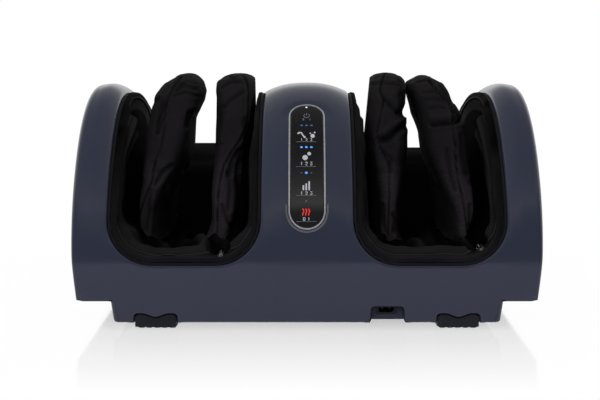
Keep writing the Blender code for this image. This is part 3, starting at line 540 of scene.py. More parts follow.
def housing_half(side):
    X, S, P, Q, k, m = opening_loop(TUB_WALL + GAP)
    n2 = loop_normals(X, S)
    rows = []
    for drop in (11.0, 7.0, 4.2, RIM + 0.3):
        rows.append(surface(side * X, S, drop))
    for i in range(7):
        a = math.pi / 2 * i / 6
        e, drop = RIM * (1 - math.cos(a)), RIM * (1 - math.sin(a))
        rows.append(surface(side * (X + n2[:, 0] * e), S + n2[:, 1] * e, drop))
    x1, s1 = X + n2[:, 0] * RIM, S + n2[:, 1] * RIM
    p1 = share_of(x1, s1)
    steps = 27
    for i in range(1, steps + 1):
        v = (i / steps)
        v = v * (0.55 + 0.45 * v) if i < steps else 1.0
        s = s1 + (Q - s1) * v
        p = p1 + (P - p1) * v
        x = spread_x(p, s)
        drop = panel_scoop(x, s) * (x < 40)
        rows.append(surface(side * x, s, drop))
    verts = np.concatenate(rows)
    faces = grid(len(rows), len(X), wrap=True)
    outer = rows[-1]
    # side face: from the edge over the crest down to the lower row
    a = k - 1 - (22 - 11)
    start = [i for i in range(len(P)) if P[i] >= 0.9999]
    chain = sorted(start, key=lambda i: Q[i])
    C = outer[chain]
    n = len(chain)
    base_y = np.interp(np.arange(n), (0, n - 1), (C[0, 1], C[-1, 1]))
    levels = 16
    patch = []
    for lev in range(levels + 1):
        t = lev / levels
        y = C[:, 1] + (base_y - C[:, 1]) * t
        z = C[:, 2] + (C[0, 2] - C[:, 2]) * t
        x = (WIDTH / 2 - taper(z)) if lev else np.abs(C[:, 0])
        patch.append(np.stack([side * x, y, z], -1))
    off = len(verts)
    verts = np.concatenate([verts] + patch)
    faces += grid(levels + 1, n, start=off)
    # underside of the overhang: round the lower edge, then inwards to the skirt
    low = [i for i in range(k) if Q[i] < 1e-6 and np.abs(outer[i, 0]) >= SKIRT_X - 0.5]
    low = sorted(low, key=lambda i: abs(outer[i, 0]))
    back = [i for i in range(len(P)) if abs(Q[i] - S_END) < 1e-6 and np.abs(outer[i, 0]) >= SKIRT_X - 0.5]
    back = sorted(back, key=lambda i: -abs(outer[i, 0]))
    edge = np.concatenate([outer[low], patch[-1][1:-1], outer[back]])
    t = np.gradient(edge[:, :2], axis=0)
    t /= np.maximum(np.linalg.norm(t, axis=1), 1e-9)[:, None]
    inward = np.stack([-t[:, 1], t[:, 0]], -1)
    if np.mean(inward[:, 0] * side) > 0:
        inward = -inward
    rounds = []
    for i in range(5):
        a = math.pi / 2 * i / 4
        e, z = 1.5 * (1 - math.cos(a)), SEAM_Z - 1.5 * math.sin(a)
        rounds.append(np.column_stack([edge[:, :2] + inward * e, np.full(len(edge), z)]))
    for e in (3.5,):
        rounds.append(np.column_stack([edge[:, :2] + inward * e, np.full(len(edge), OVERHANG_Z)]))
    y_in = np.linspace(edge[0, 1], edge[-1, 1], len(edge))
    rounds.append(np.column_stack([np.full(len(edge), side * (SKIRT_X - 2.0)), y_in, np.full(len(edge), OVERHANG_Z)]))
    off = len(verts)
    verts = np.concatenate([verts] + rounds)
    faces += grid(len(rounds), len(edge), start=off)
    return verts, faces


def skirt_half_width(z):
    return SKIRT_X - (OVERHANG_Z - z) * 0.1178


def skirt_band():
    """The lower skirt round the sides and the back."""
    rows = []
    heights = [(SEAM_Z, 0.0), (24.0, 0.0), (16.0, 0.0), (10.2, 0.0)]
    for i in range(1, 6):
        a = math.pi / 2 * i / 5
        heights.append((10.2 - 2.6 * math.sin(a), 2.6 * (1 - math.cos(a))))
    heights.append((SKIRT_Z, 5.0))
    for z, sink in heights:
        hw = skirt_half_width(z) - sink
        yb = DEPTH / 2 - (CREASE_Z - z) * DRAFT - sink
        r = max(5.0 - sink, 0.4)
        path = []
        for cx, cy, a0 in ((hw - r, -yb + r, -90), (hw - r, yb - r, 0), (-hw + r, yb - r, 90), (-hw + r, -yb + r, 180)):
            for i in range(7):
                a = math.radians(a0 + 90 * i / 6)
                path.append((cx + r * math.cos(a), cy + r * math.sin(a)))
        path[0] = (skirt_half_width(SEAM_Z) - 5.0 - (SEAM_Z - z) * 0.1178, -yb)
        path[-1] = (-path[0][0], -yb)
        full = []
        for i, (a, b) in enumerate(zip(path[:-1], path[1:])):
            steps = 24 if i in (6, 13, 20) else 1
            for j in range(steps):
                full.append((a[0] + (b[0] - a[0]) * j / steps, a[1] + (b[1] - a[1]) * j / steps, z))
        full.append((*path[-1], z))
        rows.append(full)
    verts = np.array([p for row in rows for p in row])
    return verts, grid(len(rows), len(rows[0]))


def skirt_front():
    """The front of the skirt with its notches for the feet and the mains inlet."""
    half_b = skirt_half_width(SEAM_Z) - 5.0 - (SEAM_Z - SKIRT_Z) * 0.1178
    half_t = skirt_half_width(SEAM_Z) - 5.0
    pts = []                     # (x, z, radius of the edge)

    def run(x0, x1, n):
        for x in np.linspace(x0, x1, n):
            pts.append((x, SKIRT_Z, min(2.6, 0.8 + 0.5 * min(abs(x - x0) if x0 > -half_b + 1 else 99, abs(x - x1) if x1 < half_b - 1 else 99))))

    def foot(c):
        w, r = 20.7, 4.2
        pts.append((c - w, SKIRT_Z, 0.8))
        for x in (0.6, 0.85):
            pts.append((c - w, SKIRT_Z + (16.7 - r - SKIRT_Z) * x, 0.8))
        for i in range(7):
            a = math.pi - math.pi / 2 * i / 6
            pts.append((c - w + r + r * math.cos(a), 16.7 - r + r * math.sin(a), 0.8))
        for x in np.linspace(-w + r, w - r, 33)[1:-1]:
            pts.append((c + x, 16.7 - 3.5 * float(smooth(1 - abs(x) / 12.5)), 0.8))
        for i in range(7):
            a = math.pi / 2 - math.pi / 2 * i / 6
            pts.append((c + w - r + r * math.cos(a), 16.7 - r + r * math.sin(a), 0.8))
        for x in (0.85, 0.6):
            pts.append((c + w, SKIRT_Z + (16.7 - r - SKIRT_Z) * x, 0.8))
        pts.append((c + w, SKIRT_Z, 0.8))

    def notch(c):
        left = [(-17.6, SKIRT_Z), (-16.6, 8.5), (-15.7, 10.2), (-15.35, 12.5), (-15.25, 15.0), (-15.25, 18.0)]
        for x, z in left:
            pts.append((c + x, z, 1.1))
        for i in range(6):
            a = math.pi - math.pi / 2 * i / 5
            pts.append((c - 15.25 + 3.2 + 3.2 * math.cos(a), 23.0 - 3.2 + 3.2 * math.sin(a), 1.1))
        for i in range(6):
            a = math.pi / 2 - math.pi / 2 * i / 5
            pts.append((c + 15.25 - 3.2 + 3.2 * math.cos(a), 23.0 - 3.2 + 3.2 * math.sin(a), 1.1))
        for x, z in reversed(left):
            pts.append((c - x, z, 1.1))

    run(-half_b, -FOOT_X - 23.2, 10)
    foot(-FOOT_X)
    run(-FOOT_X + 23.2, INLET_X - 20.0, 50)
    notch(INLET_X)
    run(INLET_X + 20.0, FOOT_X - 23.2, 14)
    foot(FOOT_X)
    run(FOOT_X + 23.2, half_b, 10)
    L = np.array([(x, z) for x, z, _ in pts])
    rho = np.array([r for _, _, r in pts])
    t = np.diff(L, axis=0)
    t /= np.linalg.norm(t, axis=1)[:, None]
    t0, t1 = np.concatenate([t[:1], t]), np.concatenate([t, t[-1:]])
    mid = t0 + t1
    mid /= np.linalg.norm(mid, axis=1)[:, None]
    reach = 1.0 / np.maximum(np.sum(mid * t0, 1), 0.65)
    N = np.stack([-mid[:, 1], mid[:, 0]], -1) * reach[:, None]
    N[0] = N[-1] = (0, 1)
    for i in (0, -1):
        L[i, 1] = SKIRT_Z

    def put(xz, depth):
        y = front((CREASE_Z - xz[:, 1]) * DRAFT) + depth
        return np.column_stack([xz[:, 0], y, xz[:, 1]])

    rings = [put(L + N * (rho + 0.5)[:, None], 0.0 * rho)]
    for i in range(6):
        a = math.pi / 2 * i / 5
        rings.append(put(L + N * (rho * (1 - math.sin(a)))[:, None], rho * (1 - math.cos(a))))
    rings.append(put(L, rho + 2.4))
    verts = np.concatenate(rings)
    faces = grid(len(rings), len(L))
    top = np.column_stack([np.linspace(half_t, -half_t, 41), np.full(41, SEAM_Z)])
    flat = np.concatenate([L + N * (rho + 0.5)[:, None], top])
    m = len(flat)
    co, _, tris, _, _, _ = delaunay_2d_cdt([Vector(p) for p in flat], [(i, (i + 1) % m) for i in range(m)], [], 1, 1e-5)
    sheet = put(np.array([tuple(p) for p in co]), 0.0)
    off = len(verts)
    verts = np.concatenate([verts, sheet])
    faces += [tuple(off + i for i in t3) for t3 in tris]
    return verts, faces


def inlet_pocket():
    """Walls of the recess behind the inlet notch, with the window for the socket."""
    c = INLET_X
    out = [(-17.2, SKIRT_Z), (-15.3, 11.0), (-15.25, 19.8), (-14.3, 22.1), (-12.0, 23.0), (12.0, 23.0), (14.3, 22.1), (15.25, 19.8), (15.3, 11.0), (17.2, SKIRT_Z)]
    rows = []
    for y in (3.0, 8.0, 14.0, 19.0, 20.0):
        pull = 0.0 if y < 19.5 else 0.8
        rows.append([(c + x * (1 - pull / 16), front(y), z - pull * (z > 12)) for x, z in out])
    verts = [p for row in rows for p in row]
    faces = grid(len(rows), len(out))
    k = len(verts)
    last = rows[-1]
    win = [(-9.6, 12.9), (-9.6, 22.0), (9.6, 22.0), (9.6, 12.9)]
    verts += [(c + x, front(20.0), z) for x, z in win]
    verts += [(c + x, front(23.0), z) for x, z in win]
    n = len(out)
    b = k - n
    faces += [(b, b + 1, k + 0), (b + 1, b + 2, k + 1, k + 0), (b + 2, b + 3, b + 4, k + 1), (b + 4, b + 5, k + 2, k + 1), (b + 5, b + 6, b + 7, k + 2),
              (b + 7, b + 8, k + 3, k + 2), (b + 8, b + 9, k + 3), (b + 9, b, k + 0, k + 3)]
    faces += [(k + i, k + (i + 1) % 4, k + 4 + (i + 1) % 4, k + 4 + i) for i in range(4)]
    return verts, faces


def build_housing():
    parts = [housing_half(1), housing_half(-1), skirt_band(), skirt_front(), inlet_pocket()]
    verts, faces = join(*parts)
    obj = add_mesh("housing_shell", verts, faces, [SHELL])
    orient(obj, weld=0.02)
    obj.data.set_sharp_from_angle(angle=math.radians(38))
    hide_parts("upper_housing")
    return obj


build_housing()

# ---------------------------------------------------------------- control panel
def stadium(radius, n=26, m=44):
    """Closed loop in (x, s) round the panel at a distance from its middle line, with the outward directions."""
    r = PANEL_W / 2
    lo, hi = S_CREASE + math.radians(PANEL_B0) * ARC_R + r, S_CREASE + math.radians(PANEL_B1) * ARC_R - r
    pts, out = [], []
    for i in range(n + 1):
        a = math.pi + math.pi * i / n
        pts.append((radius * math.cos(a), lo + radius * math.sin(a)))
        out.append((math.cos(a), math.sin(a)))
    for i in range(1, m):
        pts.append((radius, lo + (hi - lo) * i / m))
        out.append((1.0, 0.0))
    for i in range(n + 1):
        a = math.pi * i / n
        pts.append((radius * math.cos(a), hi + radius * math.sin(a)))
        out.append((math.cos(a), math.sin(a)))
    for i in range(1, m):
        pts.append((-radius, hi + (lo - hi) * i / m))
        out.append((-1.0, 0.0))
    return np.array(pts), np.array(out)


def swept(profile, loop):
    """Rings round a panel loop: each profile entry is (inset from the loop, height above the housing)."""
    rows = []
    for inset, high in profile:
        pts, _ = stadium(loop - inset)
        rows.append(surface(pts[:, 0], pts[:, 1], -high))
    return np.concatenate(rows), len(rows), len(pts)


def build_panel():
    r = PANEL_W / 2
    arc = [(0.0, -3.0), (0.0, 0.35), (0.12, 0.8), (0.42, 1.15), (0.85, 1.28), (1.28, 1.15), (1.55, 0.85), (1.68, 0.4), (1.68, -2.6)]
    v, n, c = swept(arc, r)
    ring = add_mesh("panel_ring", v, grid(n, c, wrap=True, wrap_rows=True), [CHROME])
    orient(ring)
    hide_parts("panel_bezel")
    deep = [(1.82, -2.4), (1.82, 0.45), (1.95, 0.72), (2.25, 0.86), (3.2, 0.90), (5.5, 0.94), (8.5, 0.98), (11.5, 1.0), (14.5, 1.02), (r - 0.01, 1.03)]
    v, n, c = swept(deep, r)
    glass = add_mesh("panel_window", v, grid(n, c, wrap=True) + [tuple(range(c))], [GLASS])
    orient(glass, weld=0.02)
    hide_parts("panel_glass")
    # the raised lip that runs round the lower end of the panel
    pts, out = stadium(r + 1.75)
    low = S_CREASE + math.radians(20.5) * ARC_R
    keep = [i for i in range(len(pts)) if pts[i, 1] < low]
    start = max(keep, key=lambda i: (pts[i, 0] < 0, pts[i, 1]))
    order = [(start + i) % len(pts) for i in range(len(keep))]
    path = surface(pts[order, 0], pts[order, 1], -0.35)
    run = np.linspace(0, 1, len(order))
    thick = 0.3 + 0.85 * np.minimum(smooth(run / 0.03), smooth((1 - run) / 0.03))
    v, f = tube(path, list(thick), seg=10)
    lip = add_mesh("panel_lip", v, f, [SMOKED])
    orient(lip)


def spot(px, py):
    """X and run of the point of the panel that a place in the picture shows."""
    s = float(np.interp(-py, -PANEL_ROWS[::-1], PANEL_RUNS[::-1])) if PANEL_ROWS[0] < PANEL_ROWS[-1] else float(np.interp(py, PANEL_ROWS[::-1], PANEL_RUNS[::-1]))
    y, z, _, _ = on_profile(s)
    y = front(y)
    deep = (y - CAM_AT.y) * math.cos(CAM_PITCH) + (CAM_AT.z - z) * math.sin(CAM_PITCH)
    return CAM_AT.x + (px - 300.0) * deep / FOCAL, s


PANEL_RUNS = np.linspace(S_CREASE + 20, S_CREASE + 190, 300)
PANEL_ROWS = np.array([row_of(front(on_profile(q)[0] - on_profile(q)[2] * -1.0), on_profile(q)[1] + on_profile(q)[3] * 1.0) for q in PANEL_RUNS])


class Marks:
    """Raised print on the panel's window, drawn in picture places."""

    def __init__(self):
        self.verts, self.faces = [], []

    def patch(self, pts):
        k, n = len(self.verts), len(pts)
        xs = np.array([spot(*p) for p in pts])
        self.verts += surface(xs[:, 0], xs[:, 1], -1.13).tolist() + surface(xs[:, 0], xs[:, 1], -0.92).tolist()
        self.faces.append(tuple(range(k, k + n)))
        self.faces += [(k + i, k + (i + 1) % n, k + n + (i + 1) % n, k + n + i) for i in range(n)]
        self.faces.append(tuple(range(k + 2 * n - 1, k + n - 1, -1)))

    def disc(self, x, y, rx, ry=None, n=18):
        ry = ry or rx
        self.patch([(x + rx * math.cos(2 * math.pi * i / n), y + ry * math.sin(2 * math.pi * i / n)) for i in range(n)])

    def stroke(self, pts, w):
        pts = [Vector(p) for p in pts]
        left, right = [], []
        for i, p in enumerate(pts):
            t = (pts[min(i + 1, len(pts) - 1)] - pts[max(i - 1, 0)]).normalized()
            o = Vector((-t.y, t.x)) * (w / 2)
            left.append(p + o)
            right.append(p - o)
        for i in range(len(pts) - 1):
            self.patch([tuple(left[i]), tuple(left[i + 1]), tuple(right[i + 1]), tuple(right[i])])

    def arc(self, x, y, rx, ry, a0, a1, w, n=14):
        self.stroke([(x + rx * math.cos(math.radians(a0 + (a1 - a0) * i / n)), y + ry * math.sin(math.radians(a0 + (a1 - a0) * i / n))) for i in range(n + 1)], w)

    def make(self, name, mat):
        obj = add_mesh(name, self.verts, self.faces, [mat], flat=True)
        return orient(obj)


DIGITS = {
    "0": [[(0, .2), (0, .8), (.25, 1), (.75, 1), (1, .8), (1, .2), (.75, 0), (.25, 0), (0, .2)]],
    "1": [[(.2, .25), (.55, 0), (.55, 1)]],
    "2": [[(0, .22), (.25, 0), (.75, 0), (1, .22), (1, .42), (0, 1), (1, 1)]],
    "3": [[(0, 0), (1, 0), (.5, .42), (.85, .5), (1, .72), (.75, 1), (.2, 1), (0, .85)]],
}


def figures(marks, text, x0, x1, y, high, w):
    """Plain figures spread evenly from x0 to x1, their middles on row y."""
    wide = high * 0.62
    for i, ch in enumerate(text):
        cx = (x0 + x1) / 2 if len(text) == 1 else x0 + (x1 - x0) * i / (len(text) - 1)
        for line in DIGITS[ch]:
            marks.stroke([(cx + (u - 0.5) * wide, y + (v - 0.5) * high) for u, v in line], w)


def build_marks():
    white, dim, blue, low_blue, red, point = Marks(), Marks(), Marks(), Marks(), Marks(), Marks()
    point.disc(306.4, 107.4, 0.95, 0.42)
    # power
    dim.arc(306.6, 115.7, 2.9, 1.9, -55, 235, 0.42)
    dim.stroke([(306.6, 113.2), (306.6, 115.6)], 0.5)
    figures(dim, "01", 303.4, 309.8, 119.4, 1.7, 0.4)
    for x in (301.5, 306.4, 311.4):
        low_blue.disc(x, 125.4, 1.35, 0.62)
        blue.disc(x, 147.2, 1.3, 0.85)
    for x in (301.3, 311.4):
        dim.disc(x, 172.9, 0.7, 0.5)
    blue.disc(306.3, 172.8, 1.4, 1.15)
    dim.disc(306.2, 201.0, 0.8, 0.55)
    # two ways of kneading: a bent arm of rollers, and a round pad
    white.stroke([(297.8, 133.4), (299.6, 132.3), (301.6, 132.9), (302.6, 134.9), (304.6, 137.2)], 1.25)
    white.disc(298.4, 133.2, 1.1, 0.85)
    white.disc(304.6, 137.1, 1.05, 0.95)
    white.disc(312.6, 135.9, 2.1, 1.95)
    white.disc(314.6, 132.4, 0.95, 0.75)
    white.disc(310.3, 133.3, 0.8, 0.6)
    figures(white, "123", 301.6, 311.2, 139.7, 2.3, 0.5)
    # pace: a large and a small wheel
    white.disc(305.1, 157.6, 2.7, 2.55, n=26)
    white.disc(309.2, 153.7, 1.9, 1.75, n=22)
    figures(white, "123", 301.6, 311.2, 163.6, 3.0, 0.6)
    # strength: three rising bars
    for x, top in ((303.4, 185.3), (306.3, 183.4), (309.2, 181.3)):
        white.stroke([(x, top), (x, 190.3)], 1.6)
    figures(white, "123", 301.6, 311.2, 193.1, 3.0, 0.6)
    # heat: three waves
    for x in (303.1, 306.0, 308.9):
        red.stroke([(x - 0.55 + 0.85 * math.sin(t * 5.2) + 1.2 * t, 208.7 + 6.8 * t) for t in np.linspace(0, 1, 12)], 1.15)
    figures(white, "01", 304.2, 308.8, 219.0, 3.0, 0.6)
    for y in (141.7, 166.5, 195.4, 221.6):
        dim.stroke([(296.3 + i * 2.5, y) for i in range(9)], 0.32)
    white.make("panel_signs", PRINT)
    dim.make("panel_rules", DIM_PRINT)
    blue.make("panel_lamps", BLUE)
    low_blue.make("panel_lamps_low", BLUE_DIM)
    red.make("panel_heat_sign", RED)
    point.make("panel_point", WHITE_DOT)


build_panel()
build_marks()


# ---------------------------------------------------------------- front feet
def build_foot(side):
    """Ribbed rubber foot with two rounded lobes, filling its notch in the skirt."""
    tag = "left" if side < 0 else "right"
    lo, hi = (np.array(q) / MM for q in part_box(tag + "_front_foot"))
    c, w, r, top = side * FOOT_X, 19.4, 3.4, 15.6
    outline = []
    for i in range(7):
        a = math.pi - math.pi / 2 * i / 6
        outline.append((c - w + r + r * math.cos(a), top - r + r * math.sin(a)))
    for x in np.linspace(-w + r, w - r, 31)[1:-1]:
        outline.append((c + x, top - 3.4 * float(smooth(1 - abs(x) / 12.5))))
    for i in range(7):
        a = math.pi / 2 - math.pi / 2 * i / 6
        outline.append((c + w - r + r * math.cos(a), top - r + r * math.sin(a)))
    outline.append((c + w, 4.0))
    # underside with five ribs
    under = []
    for i in range(5):
        x = w - 1.2 - (2 * w - 2.4) * i / 5
        e = (2 * w - 2.4) / 5
        under += [(x, 1.4), (x - 0.5, 0.45), (x - 1.2, lo[2] + 0.02), (x - e + 2.2, lo[2] + 0.02), (x - e + 1.5, 0.45), (x - e + 1.0, 1.4)]
    outline += [(c + w - 0.25, 2.2)] + [(c + x, z) for x, z in under] + [(c - w + 0.25, 2.2), (c - w, 4.0)]
    L = np.array(outline)
    mid = np.array([c, 8.0])
    y0 = front(4.2)
    rows = []
    for y, pull in ((y0, 1.5), (y0 + 0.25, 0.75), (y0 + 0.8, 0.2), (y0 + 1.6, 0.0), (y0 + 5.0, 0.0), (y0 + 9.0, 0.0), (y0 + 14.0, 0.0), (min(hi[1] - 0.3, y0 + 34.0), 0.0)):
        d = L - mid
        q = mid + d * (1 - pull / np.maximum(np.abs(d).max(1), 4.0))[:, None]
        lift = 3.5 * (1 - float(smooth((y - y0) / 13.0)))
        q[:, 1] = np.where(L[:, 1] < 4.5, np.maximum(L[:, 1], 0.0) * (4.5 - lift) / 4.5 + lift, q[:, 1])
        rows.append(np.column_stack([q[:, 0], np.full(len(q), y) + (CREASE_Z - 8 - (CREASE_Z - q[:, 1])) * 0.0, q[:, 1]]))
    verts = np.concatenate(rows)
    n = len(L)
    faces = grid(len(rows), n, wrap=True)
    co, _, tris, _, _, _ = delaunay_2d_cdt([Vector((p[0], p[2])) for p in rows[0]], [(i, (i + 1) % n) for i in range(n)], [], 1, 1e-5)
    faces_front = [tuple(t) for t in tris]
    k = len(verts)
    verts = np.concatenate([verts, np.array([(p[0], y0, p[1]) for p in co]), np.array([(p[0], rows[-1][0, 1], p[1]) for p in co])])
    faces += [tuple(k + i for i in t) for t in faces_front] + [tuple(k + len(co) + i for i in reversed(t)) for t in faces_front]
    foot = add_mesh(tag + "_toe_foot", verts, faces, [RUBBER])
    orient(foot, weld=0.02)
    foot.data.set_sharp_from_angle(angle=math.radians(45))
    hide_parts(tag + "_front_foot")


build_foot(-1)
build_foot(1)

# ---------------------------------------------------------------- kneading mittens
# Each padded cover by height: (z, outer X, inner X) of its nose, and the line of its front seam and its
# folds as places in the picture: (depth, width in pixels, points).
MITTENS = {
    "left_outer": dict(
        levels=[(70, -168, -153), (78, -170, -153), (89, -172.5, -152), (100, -173.5, -151), (115, -172.5, -145), (130, -169.5, -137), (145, -167.5, -128),
                (160, -166, -121), (175, -165, -116.5), (190, -163.5, -113.5), (200, -162.5, -109), (210, -160, -107.5), (219, -155, -108.5), (225, -149, -110), (230, -142, -112.5)],
        body=[(70, -171, -147), (100, -172, -143), (130, -168.5, -134), (150, -165.5, -124), (170, -163, -122), (185, -162, -120.5), (195, -161, -116), (205, -160, -110.5), (215, -157, -108), (225, -149, -110), (230, -142, -112.5)],
        top=234.3,
        seam=[(181.5, 77), (173.9, 87), (168.8, 97.3), (165, 111.4), (163.7, 129), (159.8, 149.6), (154.7, 165), (152.2, 180), (143.3, 203), (140, 214.7), (138.8, 236)],
        folds=[(-1.3, 1.5, [(176, 91), (184, 85), (197, 89)]), (-1.2, 1.3, [(173, 96), (186, 92), (201, 97)]), (-1.0, 1.2, [(178, 86), (187, 81), (197, 84)]),
               (-1.0, 1.5, [(153, 104), (160, 98.5), (167, 98)]), (-3.2, 2.2, [(163.5, 104), (158.8, 121), (157.5, 133)]), (-3.4, 2.4, [(196, 113), (190, 113), (187, 126)]),
               (-1.4, 2.0, [(143, 116), (150, 105), (158, 99)]), (-1.8, 2.0, [(155, 184), (163, 172), (172, 165)]), (1.2, 3.0, [(155, 160), (161, 167)]),
               (-1.2, 2.0, [(150, 190), (150, 212), (147, 230)]), (-1.5, 1.6, [(134, 196), (139, 208), (138, 222)]), (1.0, 4.0, [(147, 125), (146, 150), (144, 175)])]),
    "left_inner": dict(
        levels=[(64, -108, -74), (70, -105, -75), (78, -101, -75), (89, -98, -72), (100, -98.5, -68.5), (115, -99.5, -67.5), (130, -98, -68), (145, -95.5, -67.5), (160, -93, -63),
                (175, -91.5, -56.5), (190, -91, -53.5), (200, -91.5, -53), (210, -93.5, -53), (219, -94.5, -53), (225, -95, -53), (230, -93, -54)],
        body=[(70, -96, -66), (100, -98, -62), (130, -97, -58), (160, -95, -54.5), (190, -94, -53), (210, -94.5, -53), (225, -95, -53), (230, -93, -54)],
        top=234.6,
        seam=[(242.8, 74), (247.9, 84.6), (249, 96), (248.5, 110), (246.6, 125.4), (240.2, 139.4), (231.3, 152.2), (223.6, 166.2), (219.8, 182.8), (217.9, 202), (217.2, 236)],
        folds=[(-1.1, 1.5, [(241, 82), (230, 83), (222, 88)]), (-1.2, 2.0, [(243, 92), (232, 99), (224, 107)]), (-1.2, 1.3, [(245, 118), (243.5, 127)]),
               (-1.5, 2.2, [(253, 110), (250, 125), (244, 138)]), (-1.4, 2.0, [(238, 150), (232, 160), (229, 175)]), (1.0, 3.0, [(226, 120), (222, 140)]),
               (-1.4, 1.6, [(222, 205), (228, 222), (234, 230)]), (-1.3, 2.0, [(228, 172), (230, 190), (228, 210)]), (-1.2, 1.6, [(221, 78), (228, 76), (233, 79)]), (-1.5, 1.0, [(231, 76), (234, 78.5), (238, 76)])]),
    "right_inner": dict(
        levels=[(64, 73, 99), (70, 72.5, 96), (78, 71.5, 94.5), (89, 71.8, 95), (100, 72, 93), (115, 70, 95.5), (130, 67.8, 97), (145, 64.5, 98.5), (160, 62, 101.5),
                (175, 61, 102), (184, 60.8, 99.5), (190, 60.8, 97), (197, 61, 100), (205, 61, 104), (212, 61, 104.5), (219, 61.2, 104.7), (225, 63.3, 104.7), (230, 68.5, 104)],
        body=[(70, 68, 97), (100, 66, 99), (130, 64.5, 102), (160, 62, 105), (185, 61.5, 104), (190, 61.5, 101), (197, 61.5, 101.5), (205, 61, 104.5), (215, 61, 105), (225, 63.3, 104.7), (230, 68.5, 104)],
        top=235.0,
        seam=[(385, 74), (381.5, 82), (380, 91), (384, 100), (381.5, 110), (379, 122.8), (375.8, 134.3), (380.3, 147), (384.7, 156), (389, 165), (389.4, 178), (389.5, 196), (388.5, 215), (388, 236)],
        folds=[(-4.2, 2.6, [(403, 126), (395, 132), (388, 138.8), (381, 140)]), (2.2, 3.4, [(402, 119), (393, 126), (384, 133)]), (-2.4, 1.9, [(384, 99), (391, 106), (398, 113)]),
               (-3.0, 3.0, [(401, 95), (403, 104), (401, 114)]), (-2.6, 1.3, [(365, 84.5), (373, 83), (381, 83), (392, 83.5), (402, 87)]), (1.6, 4.0, [(376, 150), (380, 165)]),
               (2.0, 4.5, [(397, 146), (395, 156)]), (-1.6, 1.6, [(384, 152), (390, 158), (391, 172)]), (-1.6, 1.5, [(397, 74), (398, 80), (402, 84)]),
               (-1.6, 1.8, [(382, 205), (383, 222), (386, 232)]), (-1.8, 2.2, [(393, 215), (396, 220), (394, 232)]), (1.0, 3.0, [(385, 90), (392, 96)])]),
    "right_outer": dict(
        levels=[(70, 154, 163), (78, 152.5, 165), (89, 150.5, 170), (100, 147.5, 173.3), (115, 141, 172), (130, 134, 169.5), (145, 127, 166.5), (160, 120.5, 164.5),
                (175, 116.5, 163.5), (190, 112.5, 162.5), (200, 110.5, 160), (207, 109.5, 155), (214, 108.5, 150.5), (219, 107.5, 149), (225, 107.9, 146), (230, 112.6, 138)],
        body=[(70, 147, 171), (100, 143, 172.5), (130, 134, 169), (150, 126.5, 165.5), (170, 124, 163), (180, 120, 162), (190, 115.5, 161), (200, 113, 158), (210, 109.5, 152), (219, 107.5, 149), (225, 107.9, 146), (230, 112.6, 138)],
        top=232.8,
        seam=[(427.5, 76), (431.3, 84.6), (441.5, 96), (449, 102.4), (451.7, 110), (453, 122.8), (454.9, 139.4), (455.5, 157.3), (456.8, 172.6), (460.6, 190.4), (464.4, 208.3), (468, 236)],
        folds=[(-3.4, 1.8, [(432, 125), (442, 124), (452, 123), (461, 121.5), (470, 117)]), (1.8, 3.2, [(432, 118), (445, 117), (455, 115)]), (-1.2, 1.2, [(423, 92), (431, 91.5), (438, 93.5)]),
               (-1.2, 1.2, [(425, 99.5), (434, 99), (443, 101)]), (-1.0, 1.2, [(430, 108), (439, 107), (447, 109)]), (-2.6, 2.2, [(454, 112), (459, 118), (464, 119)]),
               (-1.4, 1.4, [(417, 82), (425, 80), (432, 83)]), (-1.2, 2.2, [(461, 135), (462, 155), (466, 175)]), (-1.3, 2.0, [(447, 150), (450, 172), (455, 190)]),
               (-1.5, 1.5, [(470, 205), (470, 218), (468, 228)]), (1.2, 3.5, [(472, 190), (474, 203)]), (-1.2, 1.6, [(440, 86), (446, 95), (454, 102)])]),
}


def on_picture(pts):
    """Columns and rows of the picture at which points (mm) are seen."""
    pts = np.asarray(pts, float)
    ca, sa = math.cos(CAM_PITCH), math.sin(CAM_PITCH)
    dy, dz = pts[:, 1] - CAM_AT.y, pts[:, 2] - CAM_AT.z
    deep = dy * ca - dz * sa
    return np.column_stack([300 + FOCAL * (pts[:, 0] - CAM_AT.x) / deep, 200 - FOCAL * (dy * sa + dz * ca) / deep])


def near_line(q, line):
    """Distance of points to a line of several pieces, and on which side of it they are."""
    line = np.asarray(line, float)
    best, sign = np.full(len(q), 1e9), np.ones(len(q))
    for a, b in zip(line[:-1], line[1:]):
        d = b - a
        t = np.clip(((q - a) @ d) / (d @ d), 0, 1)
        off = q - (a + t[:, None] * d)
        r = np.hypot(off[:, 0], off[:, 1])
        hit = r < best
        best = np.where(hit, r, best)
        sign = np.where(hit, np.sign(off[:, 0] * d[1] - off[:, 1] * d[0]), sign)
    return best, sign


def vertex_normals(verts, faces):
    n = np.zeros_like(verts)
    quads = np.array([f for f in faces if len(f) == 4])
    a, b, c, d = (verts[quads[:, i]] for i in range(4))
    fn = np.cross(c - a, d - b)
    for i in range(4):
        np.add.at(n, quads[:, i], fn)
    return n / np.maximum(np.linalg.norm(n, axis=1), 1e-9)[:, None]


def wave(p, scale, seed):
    """Smooth noise from a hashed lattice, between -1 and 1, the same each run."""
    q = np.asarray(p, float) / np.asarray(scale, float) + seed
    cell = np.floor(q).astype(np.int64)
    f = q - cell
    f = f * f * (3 - 2 * f)
    total = np.zeros(len(q))
    for dx in (0, 1):
        for dy in (0, 1):
            for dz in (0, 1):
                h = (cell[:, 0] + dx) * 73856093 ^ (cell[:, 1] + dy) * 19349663 ^ (cell[:, 2] + dz) * 83492791
                h = (h ^ (h >> 13)) * 1274126177 & 0x7FFFFFFF
                h = (h ^ (h >> 16)) & 0xFFFF
                share = (f[:, 0] if dx else 1 - f[:, 0]) * (f[:, 1] if dy else 1 - f[:, 1]) * (f[:, 2] if dz else 1 - f[:, 2])
                total += share * (h / 32767.5 - 1.0)
    return total


MITTEN_N = 240


def between(rows, z, k):
    return np.interp(z, [r[0] for r in rows], [r[k] for r in rows])


